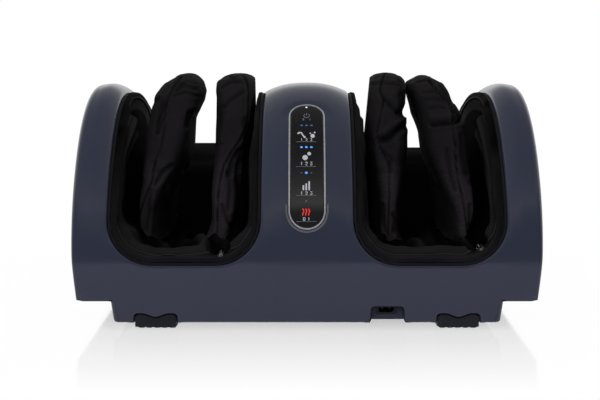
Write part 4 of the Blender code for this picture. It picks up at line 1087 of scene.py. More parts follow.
def off_paddle(tag, verts, margin, soft):
    """Cloth pushed outwards where it would come closer to the paddle inside than its foam is thick."""
    body = MITTENS[tag]["body"]
    inner = bpy.data.objects[tag + "_paddle"].data
    tree = BVHTree.FromPolygons([tuple(v.co / MM) for v in inner.vertices], [tuple(f.vertices) for f in inner.polygons])
    mids = (between(body, verts[:, 2], 1) + between(body, verts[:, 2], 2)) / 2
    verts = verts.copy()
    for i, (x, y, z) in enumerate(verts.tolist()):
        if abs(y) > 99:
            continue
        c = float(mids[i])
        out = 1.0 if math.cos(2 * math.pi * (i % MITTEN_N) / MITTEN_N) > 0 else -1.0
        hit = tree.ray_cast(Vector((c + 90 * out, y, z)), Vector((-out, 0, 0)), 180.0)[0]
        if hit is not None:
            need = (hit.x - c) * out + margin
            have = (x - c) * out
            if need > have - soft:
                h = min(max(0.5 + 0.5 * (need - have) / soft, 0.0), 1.0)
                verts[i, 0] = c + out * (have * (1 - h) + need * h + soft * h * (1 - h))
    return verts


def even_turns(a, n_front, n_rear):
    """Angles that lie evenly along a ring of depth a with blunt ends, a quarter of the ring at a time."""
    turns = []
    for q in range(4):
        w = np.linspace(q, q + 1, 121) * math.pi / 2
        n = n_front if q > 1 else n_rear
        x = 18.0 * np.abs(np.cos(w)) ** (2 / n)
        y = a * np.abs(np.sin(w)) ** (2 / n)
        run = np.concatenate([[0], np.cumsum(np.hypot(np.diff(x), np.diff(y)))])
        turns.append(np.interp(np.linspace(0, run[-1], MITTEN_N // 4, endpoint=False), run, w))
    return np.concatenate(turns)


def mitten_body(tag):
    data = MITTENS[tag]
    nose, body, top = data["levels"], data["body"], data["top"]
    zs = np.concatenate([np.linspace(65.2, 205, 88), 205 + (top - 205) * np.sin(np.linspace(0, math.pi / 2, 30))[1:]])
    rows = []
    for z in zs:
        close = 1.0
        if z > top - 10.5:
            close = math.sqrt(max(1 - ((z - top + 10.5) / 10.5) ** 2.4, 0.0)) * 0.96 + 0.04
        up = max((z - 140.0) / (top - 140.0), 0.0)
        a = 106.0 * max(1 - up ** 2.5, 0.0) ** (1 / 2.1) + 0.8
        if z < 140:
            a = 106.0 - 5.0 * ((140.0 - z) / 70.0) ** 2
        n = 2.3 - 0.35 * float(smooth((150 - z) / 70.0))
        blunt = 4.1 - 1.0 * float(smooth((z - 170.0) / 40.0))
        w = even_turns(a, blunt, n)
        n = np.where(np.arange(MITTEN_N) > MITTEN_N // 2, blunt, n)
        ux = np.sign(np.cos(w)) * np.abs(np.cos(w)) ** (2 / n)
        uy = np.sign(np.sin(w)) * np.abs(np.sin(w)) ** (2 / n)
        y = a * uy
        f = smooth((-y / max(a, 30.0) - 0.45) / 0.4)
        lo = f * between(nose, z, 1) + (1 - f) * between(body, z, 1)
        hi = f * between(nose, z, 2) + (1 - f) * between(body, z, 2)
        flare = 2.6 * max((76.0 - z) / 10.8, 0.0) ** 1.6
        rows.append(np.column_stack([(lo + hi) / 2 + ((hi - lo) / 2 + flare) * close * ux, y, np.full(len(w), z)]))
    verts = np.concatenate(rows)
    verts = off_paddle(tag, verts, 2.4, 3.0)
    faces = grid(len(rows), MITTEN_N, wrap=True)
    faces.append(tuple(range(MITTEN_N - 1, -1, -1)))
    faces.append(tuple(range((len(rows) - 1) * MITTEN_N, len(rows) * MITTEN_N)))
    return verts, faces, len(rows)


def clear_of_walls(tag, verts):
    """Cloth held back so that it passes the lining at every turn of the shaft.

    The oblique hub swings a point sideways by WOBBLE times its height over the shaft times the cosine of the
    hub's phase, less its depth times the sine, so over a full turn by WOBBLE times its distance either way."""
    side, _, _, phase = PADDLES[tag]
    x, y, z = verts.T
    wob, ph = math.tan(WOBBLE), math.radians(phase)
    now = wob * ((z - SHAFT_Z) * math.cos(ph) - y * math.sin(ph))
    most = wob * np.hypot(z - SHAFT_Z, y)
    r = WELL_R - TUB_WALL - GAP - LINER_T
    up = np.clip(z - 60.8, 0.0, r)
    inset = r - np.sqrt(np.maximum(r * r - (r - up) ** 2, 0.0)) + 2.2 + 2.0 * (1 - smooth((z - 70.0) / 16.0)) * smooth((np.abs(y) - 40.0) / 40.0)
    near, far = WELL_IN + TUB_WALL + GAP + LINER_T + inset, WELL_OUT - TUB_WALL - GAP - LINER_T - inset
    lo, hi = (near, far) if side > 0 else (-far, -near)
    lo, hi = lo + most + now, hi - most + now
    soft = 1.6

    def at_least(v, limit):
        h = np.clip(0.5 + 0.5 * (limit - v) / soft, 0.0, 1.0)
        return v * (1 - h) + limit * h + 0.5 * soft * h * (1 - h)

    kept = -at_least(-at_least(x, lo), -hi)
    return np.column_stack([kept, y, z])


def dress_mitten(tag, verts, faces, seed):
    """Seam ridge, folds and slack in the cloth, worked into the mesh."""
    data = MITTENS[tag]
    n = vertex_normals(verts, faces)
    pic = on_picture(verts)
    facing = smooth((-n[:, 1] + 0.15) / 0.5) * (verts[:, 1] < 30)
    shift = np.zeros(len(verts))
    up = smooth((verts[:, 2] - 66.0) / 12.0)
    shift += 1.1 * wave(verts, (26.0, 26.0, 60.0), seed) + 0.55 * wave(verts, (11.0, 12.0, 30.0), seed + 7.0) + 0.6 * wave(verts, (60.0, 14.0, 9.0), seed + 3.0) * smooth((verts[:, 2] - 190) / 30)
    for depth, width, line in data["folds"]:
        d, sign = near_line(pic, line)
        edge = np.exp(-(d / width) ** 2)
        puff = np.exp(-((d - 2.0 * width) / (1.3 * width)) ** 2)
        shift += 1.25 * facing * (depth * edge - 0.3 * depth * puff)
    d, sign = near_line(pic, data["seam"])
    shift += facing * (-2.2 * np.exp(-(d / 0.75) ** 2) + 1.3 * np.exp(-((d - 1.8) / 0.9) ** 2) * (sign > 0) + 0.9 * np.exp(-((d - 2.1) / 1.2) ** 2) * (sign <= 0))
    # the same seam runs over the back
    back = smooth((n[:, 1] - 0.2) / 0.4)
    mid = verts[:, 0] - np.interp(verts[:, 2], [r[0] for r in data["levels"]], [(r[1] + r[2]) / 2 for r in data["levels"]])
    shift += back * (-1.2 * np.exp(-(mid / 1.0) ** 2) + 0.8 * np.exp(-((np.abs(mid) - 2.2) / 1.1) ** 2))
    return off_paddle(tag, clear_of_walls(tag, verts + n * (shift * up)[:, None]), 0.9, 0.8)


def cloth_painted_light_and_shade(tag, verts, n):
    """Painted light and shade on the cloth, as an attribute: greyest low on the nose, blacker above and inside, black
    in the seam and the folds.
    """
    pic = on_picture(verts)
    facing = smooth((-n[:, 1] + 0.15) / 0.5) * (verts[:, 1] < 30)
    # painted light: the cloth greyest low on the nose, blacker higher up and behind it
    tone = np.interp(verts[:, 2], [100, 128, 158, 190, 235], [1.0, 0.80, 0.44, 0.34, 0.30])
    tone = 0.40 + (tone - 0.40) * np.maximum(smooth((-62.0 - verts[:, 1]) / 30.0), smooth((verts[:, 2] - 165.0) / 20.0))
    # painted shade in the folds
    for depth, width, line in MITTENS[tag]["folds"]:
        if depth < 0:
            d, _ = near_line(pic, line)
            tone = tone * (1 - min(0.2 * -depth + 0.2, 0.6) * facing * np.exp(-(d / width) ** 2))
    # painted shade in the seam, with a painted highlight along its edge
    d, _ = near_line(pic, MITTENS[tag]["seam"])
    tone = tone * (1 - 0.72 * facing * np.exp(-(d / 0.95) ** 2) + 0.22 * facing * np.exp(-((d - 2.3) / 1.0) ** 2))
    return np.interp(np.clip(tone, 0.1, 1.0), [0.10, 0.42, 1.0], [1.0, 0.5, 0.0])


FEET = {}


def foot_sweep(tag, verts):
    """The strip of floor that a mitten's foot sweeps in a full turn of the shaft: depth, least and greatest X."""
    side, _, _, phase = PADDLES[tag]
    x, y, z = verts[verts[:, 2] < 82.0].T
    wob, ph = math.tan(WOBBLE), math.radians(phase)
    x = x - wob * ((z - SHAFT_Z) * math.cos(ph) - y * math.sin(ph))
    most = wob * np.hypot(z - SHAFT_Z, y) + 1.0
    at = np.arange(-112.0, 113.0, 4.0)
    lo, hi = [], []
    for c in at:
        here = np.abs(y - np.clip(c, y.min() + 3, y.max() - 3)) < 5.0
        a, b = side * (x - most)[here], side * (x + most)[here]
        lo.append(min(a.min(), b.min()))
        hi.append(max(a.max(), b.max()))
    FEET.setdefault(side, []).append((at, np.array(lo), np.array(hi)))


def build_mittens():
    for i, tag in enumerate(PADDLES):
        verts, faces, rows = mitten_body(tag)
        fine = dress_mitten(tag, verts, faces, 3.7 + 11.3 * i)
        foot_sweep(tag, fine)
        cover = add_mesh(tag + "_mitten", fine, faces, [MITTEN], body=tag + "_kneader")
        # the depth attribute carries the painted light and shade of the cloth
        depth = cover.data.attributes.new("depth", "FLOAT", "POINT")
        depth.data.foreach_set("value", cloth_painted_light_and_shade(tag, fine, vertex_normals(fine, faces)).astype(np.float32))
        orient(cover)
        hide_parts(tag + "_cover")


build_mittens()

# ---------------------------------------------------------------- well linings with their zips
IN_X0, IN_X1 = WELL_IN + TUB_WALL + GAP + LINER_T, WELL_OUT - TUB_WALL - GAP - LINER_T
IN_R = WELL_R - TUB_WALL - GAP - LINER_T
IN_MID = (IN_X0 + IN_X1) / 2
IN_FLAT = IN_MID - IN_X0 - IN_R
IN_ARC = IN_FLAT + IN_R * math.pi / 2
FLOOR_UP = GAP + LINER_T


def shell_place(sig, yf, high):
    """Point of the right-hand well's inner shell: sig runs across it from the middle of the floor, high stands off it."""
    a = np.abs(sig)
    turn = np.clip((a - IN_FLAT) / IN_R, 0, math.pi / 2)
    side = np.sign(sig)
    across = np.where(a <= IN_FLAT, a, np.where(a <= IN_ARC, IN_FLAT + IN_R * np.sin(turn), IN_FLAT + IN_R))
    rise = np.where(a <= IN_FLAT, 0.0, np.where(a <= IN_ARC, IN_R * (1 - np.cos(turn)), IN_R + a - IN_ARC))
    x = IN_MID + side * (across - high * np.sin(turn))
    z = well_floor(yf) + FLOOR_UP + rise + high * np.cos(turn)
    return x, z


def hump(t, at, half):
    return np.clip(1 - ((t - at) / half) ** 2, 0, 1) ** 0.5


def roll_place(sig, yf, t, side):
    """Distance from the edge as the rolls of cloth count it: tighter at the crest of the cheek, wandering along the edge."""
    _, z = shell_place(sig, yf, 0.0)
    tight = 0.75 * smooth((z - 148.0) / 50.0)
    p = np.column_stack([sig, yf, np.zeros(len(sig))])
    wander = wave(p, (26.0, 26.0, 9.0), 4.4 + side) * 2.4 * smooth((t - 7.0) / 9.0) * smooth((t + 8.0) / 14.0)
    return t * (1 + tight) + wander


FOLDS = {-1: (([(110, -96), (106, -128), (99, -160), (96, -178)], 8.5, 7.0), ([(93, -114), (85, -138), (74, -160)], 6.5, 6.0), ([(147, -114), (143, -135), (135, -164)], 5.0, 6.0),
              ([(118, -60), (116, -100), (120, -150)], 4.0, 9.0)),
         1: (([(128, -50), (138, -95), (150, -132), (157, -160)], 9.5, 7.0), ([(102, -112), (106, -136), (108, -170)], 7.0, 6.5), ([(72, -114), (68, -136), (60, -156)], 4.0, 6.0),
             ([(116, -70), (120, -110), (118, -160)], 3.5, 9.0))}


def cloth_folds(side, x, y):
    """Folds of the floor cloth: how high they stand and how much they are in the light."""
    q = np.column_stack([x, y])
    total, lit = np.zeros(len(q)), np.zeros(len(q))
    for line, high, half in FOLDS[side]:
        d, _ = near_line(q, line)
        one = np.maximum(1 - (d / half) ** 2, 0.0) ** 0.75
        total = np.maximum(total, high * one)
        lit = np.maximum(lit, one * min((high / 8.5) ** 2, 1.0))
    return total, lit


def before_sweep(y, z):
    """1 in front of the mittens' noses, 0 beside the mittens."""
    nose = -106.0 * np.maximum(1 - np.maximum((z - 140.0) / 97.0, 0) ** 2.5, 0.0) ** 0.476 - 5.0
    return smooth((nose - y) / 9.0 + 0.3)


def beyond_foot(side, x, y):
    """How far a point of the floor is from the ground that the mittens' feet sweep."""
    strips = [np.maximum(np.maximum(np.interp(y, at, lo) - x, x - np.interp(y, at, hi)), np.abs(y) - 108.0) for at, lo, hi in FEET[side]]
    plates = [np.maximum(np.abs(x - c) - 21.0, np.abs(y) - 108.0) for c in (82.0, 158.0)]
    return np.minimum.reduce(strips + plates)


ZIP_AT = {-1: (-34.0, 24.0), 1: (52.0, 24.0)}


def lining_height(sig, yf, t, rear, side):
    """How far the lining stands off its shell, t mm in from its edge."""
    cheek = sig > 0
    wall = smooth((np.abs(sig) - 58.0) / 45.0)
    _, z = shell_place(sig, yf, 0.0)
    upper = smooth((z - 80.0) / 110.0)
    y = yf - DEPTH / 2
    # the mitten's sweep: the lining lies close to the wall there
    free = before_sweep(y, z) * (1 - rear)
    high = smooth((z - 148.0) / 50.0)
    if side < 0:
        one = np.where(cheek, 4.6 + 1.5 * high, 2.6)
        two = np.where(cheek, 5.0 + 9.0 * high, 5.0 - 2.5 * high)
        three = np.where(cheek, 4.5 + 19.0 * high, 7.5 - 4.5 * high)
    else:
        one = np.where(cheek, 5.5 + 1.0 * high, 4.0)
        two = np.where(cheek, 8.0 + 5.0 * high, 6.0 + 1.0 * high)
        three = np.where(cheek, 7.0 + 14.0 * high, 9.5 - 2.5 * high)
    te = roll_place(sig, yf, t, side)
    h1 = one * (0.30 + 0.70 * np.maximum(free, smooth((y - 108.0) / 20.0))) * hump(te, 4.6, 4.9)
    h2 = two * hump(te, 14.6, 5.4) * free
    h3 = three * hump(te, 26.0, 7.2) * free
    valley = 0.45 * np.where(te < 20, two, three) * smooth((te - 10.5) / 4.0) * smooth((31.0 - te) / 3.0) * free
    on_wall = np.maximum(np.maximum(h1, np.maximum(h2, h3)), valley)
    # floor: hem, then the face that carries the zip, the ridge, and the cloth stretched to the mittens
    f1 = 2.6 * hump(t, 2.6, 2.7)
    drawn = 1 + 0.16 * wave(np.column_stack([sig, 0 * yf, 0 * yf]), (13.0, 9.0, 9.0), 6.1 + side)
    face = drawn * (9.0 * smooth((te - 3.0) / 15.0) + 1.8 * np.exp(-((te - 18.5) / 1.8) ** 2))
    stretch = 8.6 * drawn + 4.0 * smooth((t - 20.0) / 36.0)
    front_floor = np.where(te < 19.5, np.maximum(f1, face), stretch)
    keep = 1 - smooth((yf - 105.0) / 90.0)
    lump = (5.0 if side < 0 else 0.6) * smooth(1.25 - np.abs(sig - 10.0) / 46.0)
    rear_floor = (5.0 + lump) * hump(t, 5.0, 6.2) + 4.0 * hump(t, 13.0, 9.0) + lump * smooth((6.0 - t) / 4.0) * 0.6
    on_floor = (front_floor * (0.35 + 0.65 * keep)) * (1 - rear) + rear_floor * rear
    # round the feet of the mittens the cloth stays below them, then rises in a soft rim
    x, _ = shell_place(sig, yf, 0.0)
    out = beyond_foot(side, x, y)
    low = 62.1 - (well_floor(yf) + FLOOR_UP)
    cap = low + 13.5 * smooth(out / 9.0) + 5.0 * np.maximum(out - 7.0, 0.0)
    rise, _ = cloth_folds(side, x, y)
    on_floor = np.minimum(on_floor + rise * smooth((t - 16.0) / 8.0), np.maximum(cap, 0.6))
    h = on_floor * (1 - wall) + on_wall * wall
    if side < 0:
        h = h + 8.0 * np.exp(-((sig - 70.0) / 15.0) ** 2 - ((yf - 40.0) / 20.0) ** 2) * smooth((t - 12.0) / 8.0)
    # a hollow in which the zip's slider lies
    near = np.hypot((sig - ZIP_AT[side][0]) / 11.0, (yf - 22.0) / 15.0)
    h = h * (1 - smooth((1.45 - near) / 0.6)) + np.minimum(h, 1.4) * smooth((1.45 - near) / 0.6)
    return np.where(t <= 0.0, -1.8, h)


def lining_rings(side):
    """The lining of a well, from its edge inwards to a line along its middle."""
    X, S, P, Q, k, m = opening_loop(-FLOOR_UP)
    edge = surface(X, S)
    yf = edge[:, 1] + DEPTH / 2
    rise = np.maximum(edge[:, 2] - well_floor(yf) - FLOOR_UP, 0.0)
    cheek = np.where(X > IN_MID, 1.0, -1.0)
    turn = np.arccos(np.clip(1 - rise / IN_R, -1, 1))
    sig = np.where(rise < 1e-3, X - IN_MID, cheek * np.where(rise < IN_R, IN_FLAT + IN_R * turn, IN_ARC + rise - IN_R))
    flat = (rise < 1e-3) | (np.abs(X - IN_MID) < IN_FLAT)
    sig = np.where(flat, X - IN_MID, sig)
    n = len(X)
    pts = np.stack([sig, yf], -1)
    d = np.roll(pts, -1, 0) - np.roll(pts, 1, 0)
    d /= np.maximum(np.linalg.norm(d, axis=1), 1e-9)[:, None]
    inward = np.stack([-d[:, 1], d[:, 0]], -1)
    centre = np.array([0.0, 165.0])
    if np.mean(np.sum((centre - pts) * inward, 1)) < 0:
        inward = -inward
    for _ in range(6):
        inward = (np.roll(inward, 1, 0) + 2 * inward + np.roll(inward, -1, 0)) / 4
        inward /= np.linalg.norm(inward, axis=1)[:, None]
    rear = smooth((yf - 235.0) / 80.0)
    goal = np.zeros((n, 2))
    goal[:, 1] = 165.0
    for i in range(k):
        goal[i, 0] = sig[i]
        goal[k + m - 1 + (k - 1 - i), 0] = sig[i]
    for j in range(m - 1):
        tri = 1 - abs(2 * j / (m - 2) - 1)
        goal[k + j, 0] = sig[k - 1] + (150.0 - sig[k - 1]) * tri
        goal[2 * k + m - 1 + j, 0] = sig[0] + (-150.0 - sig[0]) * tri
    ts = [-3.4, -2.2, -0.9, 0.0, 0.4, 1.0, 1.7, 2.5, 3.4, 4.3, 5.1, 5.9, 6.7, 7.4, 8.0, 8.6, 9.1, 9.7, 10.4, 11.2, 12.1, 13.1, 14.2, 15.3, 16.4, 17.4, 18.2, 18.9, 19.5, 20.1, 20.8,
          21.7, 22.8, 24.1, 25.4, 26.7, 28.0, 29.3, 30.6, 31.8, 32.8, 33.7, 35.0, 37.0, 39.5, 42.5, 46.0]
    rows, hems = [], []
    for t in ts:
        q = pts + inward * max(t, 0.0)
        h = lining_height(q[:, 0], q[:, 1], np.full(n, t), rear, side)
        rows.append((q[:, 0], q[:, 1], h, t))
    last = rows[-1]
    for v in (0.10, 0.21, 0.33, 0.46, 0.6, 0.75, 0.88, 1.0):
        q = np.stack([last[0], last[1]], -1) * (1 - v) + goal * v
        rows.append((q[:, 0], q[:, 1], lining_height(q[:, 0], q[:, 1], np.full(n, 46.0 + 60 * v), rear, side), 46.0 + 60 * v))
    return rows, inward, rear, n


def lining_points(row, side, seed, rear, inward):
    sig, yf, h, t = row
    if t < 0:
        # the part tucked in at the housing's edge; at the rear it rolls over that edge
        x, z = shell_place(sig, yf, -2.2 + 0.0 * sig)
        k = {-3.4: (-3.2, 1.0), -2.2: (-2.6, 2.4), -0.9: (-1.2, 3.0)}[t]
        xr, zr = shell_place(sig, yf, np.full(len(sig), k[1] * 0.4))
        over = yf + k[0] * -1.0
        y = yf * (1 - rear) + over * rear
        z = z * (1 - rear) + (zr + k[1] * 0.7) * rear
        x = x * (1 - rear) + xr * rear
        return np.column_stack([side * x, front(y), z])
    x, z = shell_place(sig, yf, h)
    p = np.column_stack([x, front(yf), z])
    slack = smooth((t - 19.0) / 10.0)
    fine = smooth(t / 3.0)
    zipped = np.hypot((sig - ZIP_AT[side][0]) / 11.0, (yf - 22.0) / 15.0)
    slack = slack * smooth((zipped - 1.1) / 0.5)
    fine = fine * smooth((zipped - 0.9) / 0.4)
    puff = 1.6 * wave(p, (16.0, 40.0, 22.0), seed) * slack + 0.35 * wave(p, (7.0, 9.0, 7.0), seed + 5.0) * fine + 1.4 * wave(p, (30.0, 60.0, 45.0), seed + 9.0) * slack
    # pulls that run from the feet of the mittens to the edge
    for c, y0 in ((82.0, -104.0), (158.0, -104.0)):
        a = np.arctan2(p[:, 0] - c, -(p[:, 1] - y0 - 10.0))
        r = np.hypot(p[:, 0] - c, p[:, 1] - y0)
        puff += 3.4 * np.cos(a * 7.0 + seed + 2.0 * np.sin(a * 3.0)) * np.exp(-((r - 24.0) / 17.0) ** 2) * slack * (p[:, 1] < y0 + 14)
    beside = smooth((np.abs(sig) - 58.0) / 45.0) * (1 - before_sweep(p[:, 1], p[:, 2]))
    puff *= (1 - 0.85 * beside) * smooth((beyond_foot(side, p[:, 0], p[:, 1]) - 1.0) / 9.0 + 2.0 * smooth((np.abs(sig) - 86.0) / 20.0))
    x, z = shell_place(sig, yf, np.maximum(h + puff, 0.3 if t > 1 else -9))
    return np.column_stack([side * x, front(yf), z])


def build_linings():
    for side, tag in ((-1, "left"), (1, "right")):
        rows, inward, rear, n = lining_rings(side)
        seed = 2.3 if side < 0 else 8.9
        pts = [lining_points(r, side, seed, rear, inward) for r in rows]
        verts = np.concatenate(pts)
        faces = grid(len(rows), n, wrap=True)
        mids = np.array([verts[list(f)].mean(0) for f in faces])
        hole = np.zeros(len(faces), bool)
        for c in (82.0, 158.0):
            hole |= (np.abs(mids[:, 0] - side * c) < 13.0) & (np.abs(mids[:, 1]) < 50.0) & (mids[:, 2] < 85)
        faces = [f for f, cut in zip(faces, hole) if not cut]
        obj = add_mesh(tag + "_lining", verts, faces, [LINING])
        # painted shade for the lining, kept in the depth attribute: darker past the rolls deep in the well, in the
        # creases between the rolls and along the zip, lighter where folds stand in the light and at the rear
        inwards = np.concatenate([np.full(n, r[3]) for r in rows])
        sigs, deeps = np.concatenate([r[0] for r in rows]), np.concatenate([r[1] for r in rows])
        floor_part = 1 - smooth((np.abs(sigs) - 58.0) / 40.0)
        back = np.tile(rear, len(rows))
        te = roll_place(sigs, deeps, inwards, side)
        _, zs = shell_place(sigs, deeps, 0.0)
        begin = 31.0 - (7.0 if side < 0 else 10.5) * floor_part - 15.0 * back * floor_part - 2.5 * smooth((zs - 140.0) / 40.0)
        deep = np.clip((te - begin) / (5.0 + (8.0 if side < 0 else 4.0) * floor_part), 0, 1)
        cheeks = 1 - floor_part
        crease_shade = 0.4 * np.exp(-((te + 0.4) / 1.2) ** 2) + (0.60 * np.exp(-((te - 9.9) / 1.1) ** 2) + 0.85 * np.exp(-((te - 20.3) / 2.0) ** 2) * cheeks) * (1 - back)
        crease_shade += cheeks * (1 - back) * (0.28 * smooth((3.6 - te) / 1.6) + 0.35 * np.exp(-((te - 5.6) / 0.6) ** 2) + 0.45 * np.exp(-((te - 15.4) / 0.9) ** 2))
        crease_shade += 0.7 * np.exp(-((te - 25.0) / 1.3) ** 2) * smooth((zs - 110.0) / 40.0) * (1 - back)
        crease_shade += 0.42 * smooth((8.5 - te) / 2.0) * smooth((zs - 120.0) / 60.0) * (sigs > 0)
        crease_shade *= 0.75 + 0.35 * wave(np.column_stack([sigs, deeps, inwards]), (18.0, 18.0, 30.0), seed)
        xs, _ = shell_place(sigs, deeps, 0.0)
        _, lit = cloth_folds(side, xs, deeps - DEPTH / 2)
        if side < 0:
            lit = np.maximum(lit, np.exp(-((sigs - 70.0) / 15.0) ** 2 - ((deeps - 40.0) / 20.0) ** 2))
        deep *= 1 - 0.85 * lit * smooth((110.0 - deeps) / 40.0)
        deep *= 1 - 0.35 * smooth((deeps - 350.0) / 25.0)
        depth = obj.data.attributes.new("depth", "FLOAT", "POINT")
        depth.data.foreach_set("value", np.clip(np.maximum(deep, crease_shade), 0, 1).astype(np.float32))
        orient(obj, weld=0.03)
        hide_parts(tag + "_well_liner")
        # the zip: a coil laid along the lining, and a row of stitches on either side
        def along(place, lift):
            stack = np.array(pts)
            ts = np.array([r[3] for r in rows])
            want = np.full(n, place)
            _, zs = shell_place(rows[3][0], rows[3][1], 0.0)
            want = want / (1 + 0.75 * smooth((zs - 148.0) / 50.0))
            gap = np.hypot(rows[3][0] - ZIP_AT[side][0], 0.35 * (rows[3][1] - 2.0))
            want = want + (ZIP_AT[side][1] - 9.6 - 1.0) * np.exp(-(gap / 10.0) ** 2) * (rows[3][1] < 60)
            line, ahead = np.zeros((n, 3)), np.zeros((n, 3))
            for j in range(n):
                lo = int(np.searchsorted(ts, want[j]) - 1)
                w = (want[j] - ts[lo]) / (ts[lo + 1] - ts[lo])
                line[j] = stack[lo, j] * (1 - w) + stack[lo + 1, j] * w
                ahead[j] = stack[lo + 1, j] - stack[lo, j]
            nrm = np.cross(np.roll(line, -1, 0) - np.roll(line, 1, 0), ahead)
            nrm /= np.maximum(np.linalg.norm(nrm, axis=1), 1e-9)[:, None]
            up = np.array([side * IN_MID, 0.0, 160.0]) - line
            nrm *= np.sign(np.sum(nrm * up, 1))[:, None]
            return line + nrm * lift, nrm

        line, nrm = along(9.6, 0.55)
        keep = line[:, 1] < 130
        order = [i for i in range(n)]
        start = next(i for i in order if not keep[i - 1] and keep[i])
        order = [(start + i) % n for i in range(n) if keep[(start + i) % n]]
        line, nrm = line[order], nrm[order]
        run = np.concatenate([[0], np.cumsum(np.linalg.norm(np.diff(line, axis=0), axis=1))])
        count = int(run[-1] / 0.75)
        at = np.linspace(0, run[-1], count)
        path = np.column_stack([np.interp(at, run, line[:, i]) for i in range(3)])
        radius = [1.15 if i % 2 else 0.72 for i in range(count)]
        v, f = tube(path, radius, seg=7)
        coil = add_mesh(tag + "_zip_coil", v, f, [TEETH])
        orient(coil)
        dashes = []
        for t in (6.6, 13.0):
            line, nrm = along(t, 0.18)
            line, nrm = line[order], nrm[order]
            run = np.concatenate([[0], np.cumsum(np.linalg.norm(np.diff(line, axis=0), axis=1))])
            for q in np.arange(1.0, run[-1] - 3.0, 3.4):
                a, b = (Vector([float(np.interp(u, run, line[:, i])) for i in range(3)]) for u in (q, q + 2.3))
                o = Vector([float(np.interp(q, run, nrm[:, i])) for i in range(3)])
                w = (b - a).cross(o).normalized() * 0.3
                dashes.append(([tuple(a - w - o * .2), tuple(a + w - o * .2), tuple(b + w - o * .2), tuple(b - w - o * .2), tuple(a * .85 + b * .15 + o * .28), tuple(a * .15 + b * .85 + o * .28)],
                               [(0, 1, 4), (1, 2, 5, 4), (2, 3, 5), (3, 0, 4, 5), (0, 3, 2, 1)]))
        v, f = join(*dashes)
        sew = add_mesh(tag + "_zip_stitches", v, f, [THREAD], flat=True)
        orient(sew)


build_linings()

# ---------------------------------------------------------------- zip sliders and their pulls
ZIPS = {"left": (-(WELL_IN + WELL_R), 8.4), "right": (WELL_OUT - WELL_R, 36.7)}
ZIP_Y = 26.0


def pebble(centre, half, power=3.2, rows=14, cols=28):
    """A block with rounded sides and edges."""
    def lobe(v):
        return math.copysign(abs(v) ** (2 / power), v)
    verts = [(centre[0], centre[1], centre[2] - half[2])]
    for i in range(1, rows):
        a = -math.pi / 2 + math.pi * i / rows
        for j in range(cols):
            b = 2 * math.pi * j / cols
            verts.append((centre[0] + half[0] * lobe(math.cos(a)) * lobe(math.cos(b)), centre[1] + half[1] * lobe(math.cos(a)) * lobe(math.sin(b)), centre[2] + half[2] * lobe(math.sin(a))))
    verts.append((centre[0], centre[1], centre[2] + half[2]))
    faces = grid(rows - 1, cols, wrap=True, start=1)
    faces += [(0, 1 + (j + 1) % cols, 1 + j) for j in range(cols)]
    last, top = 1 + (rows - 2) * cols, len(verts) - 1
    faces += [(last + j, last + (j + 1) % cols, top) for j in range(cols)]
    return verts, faces


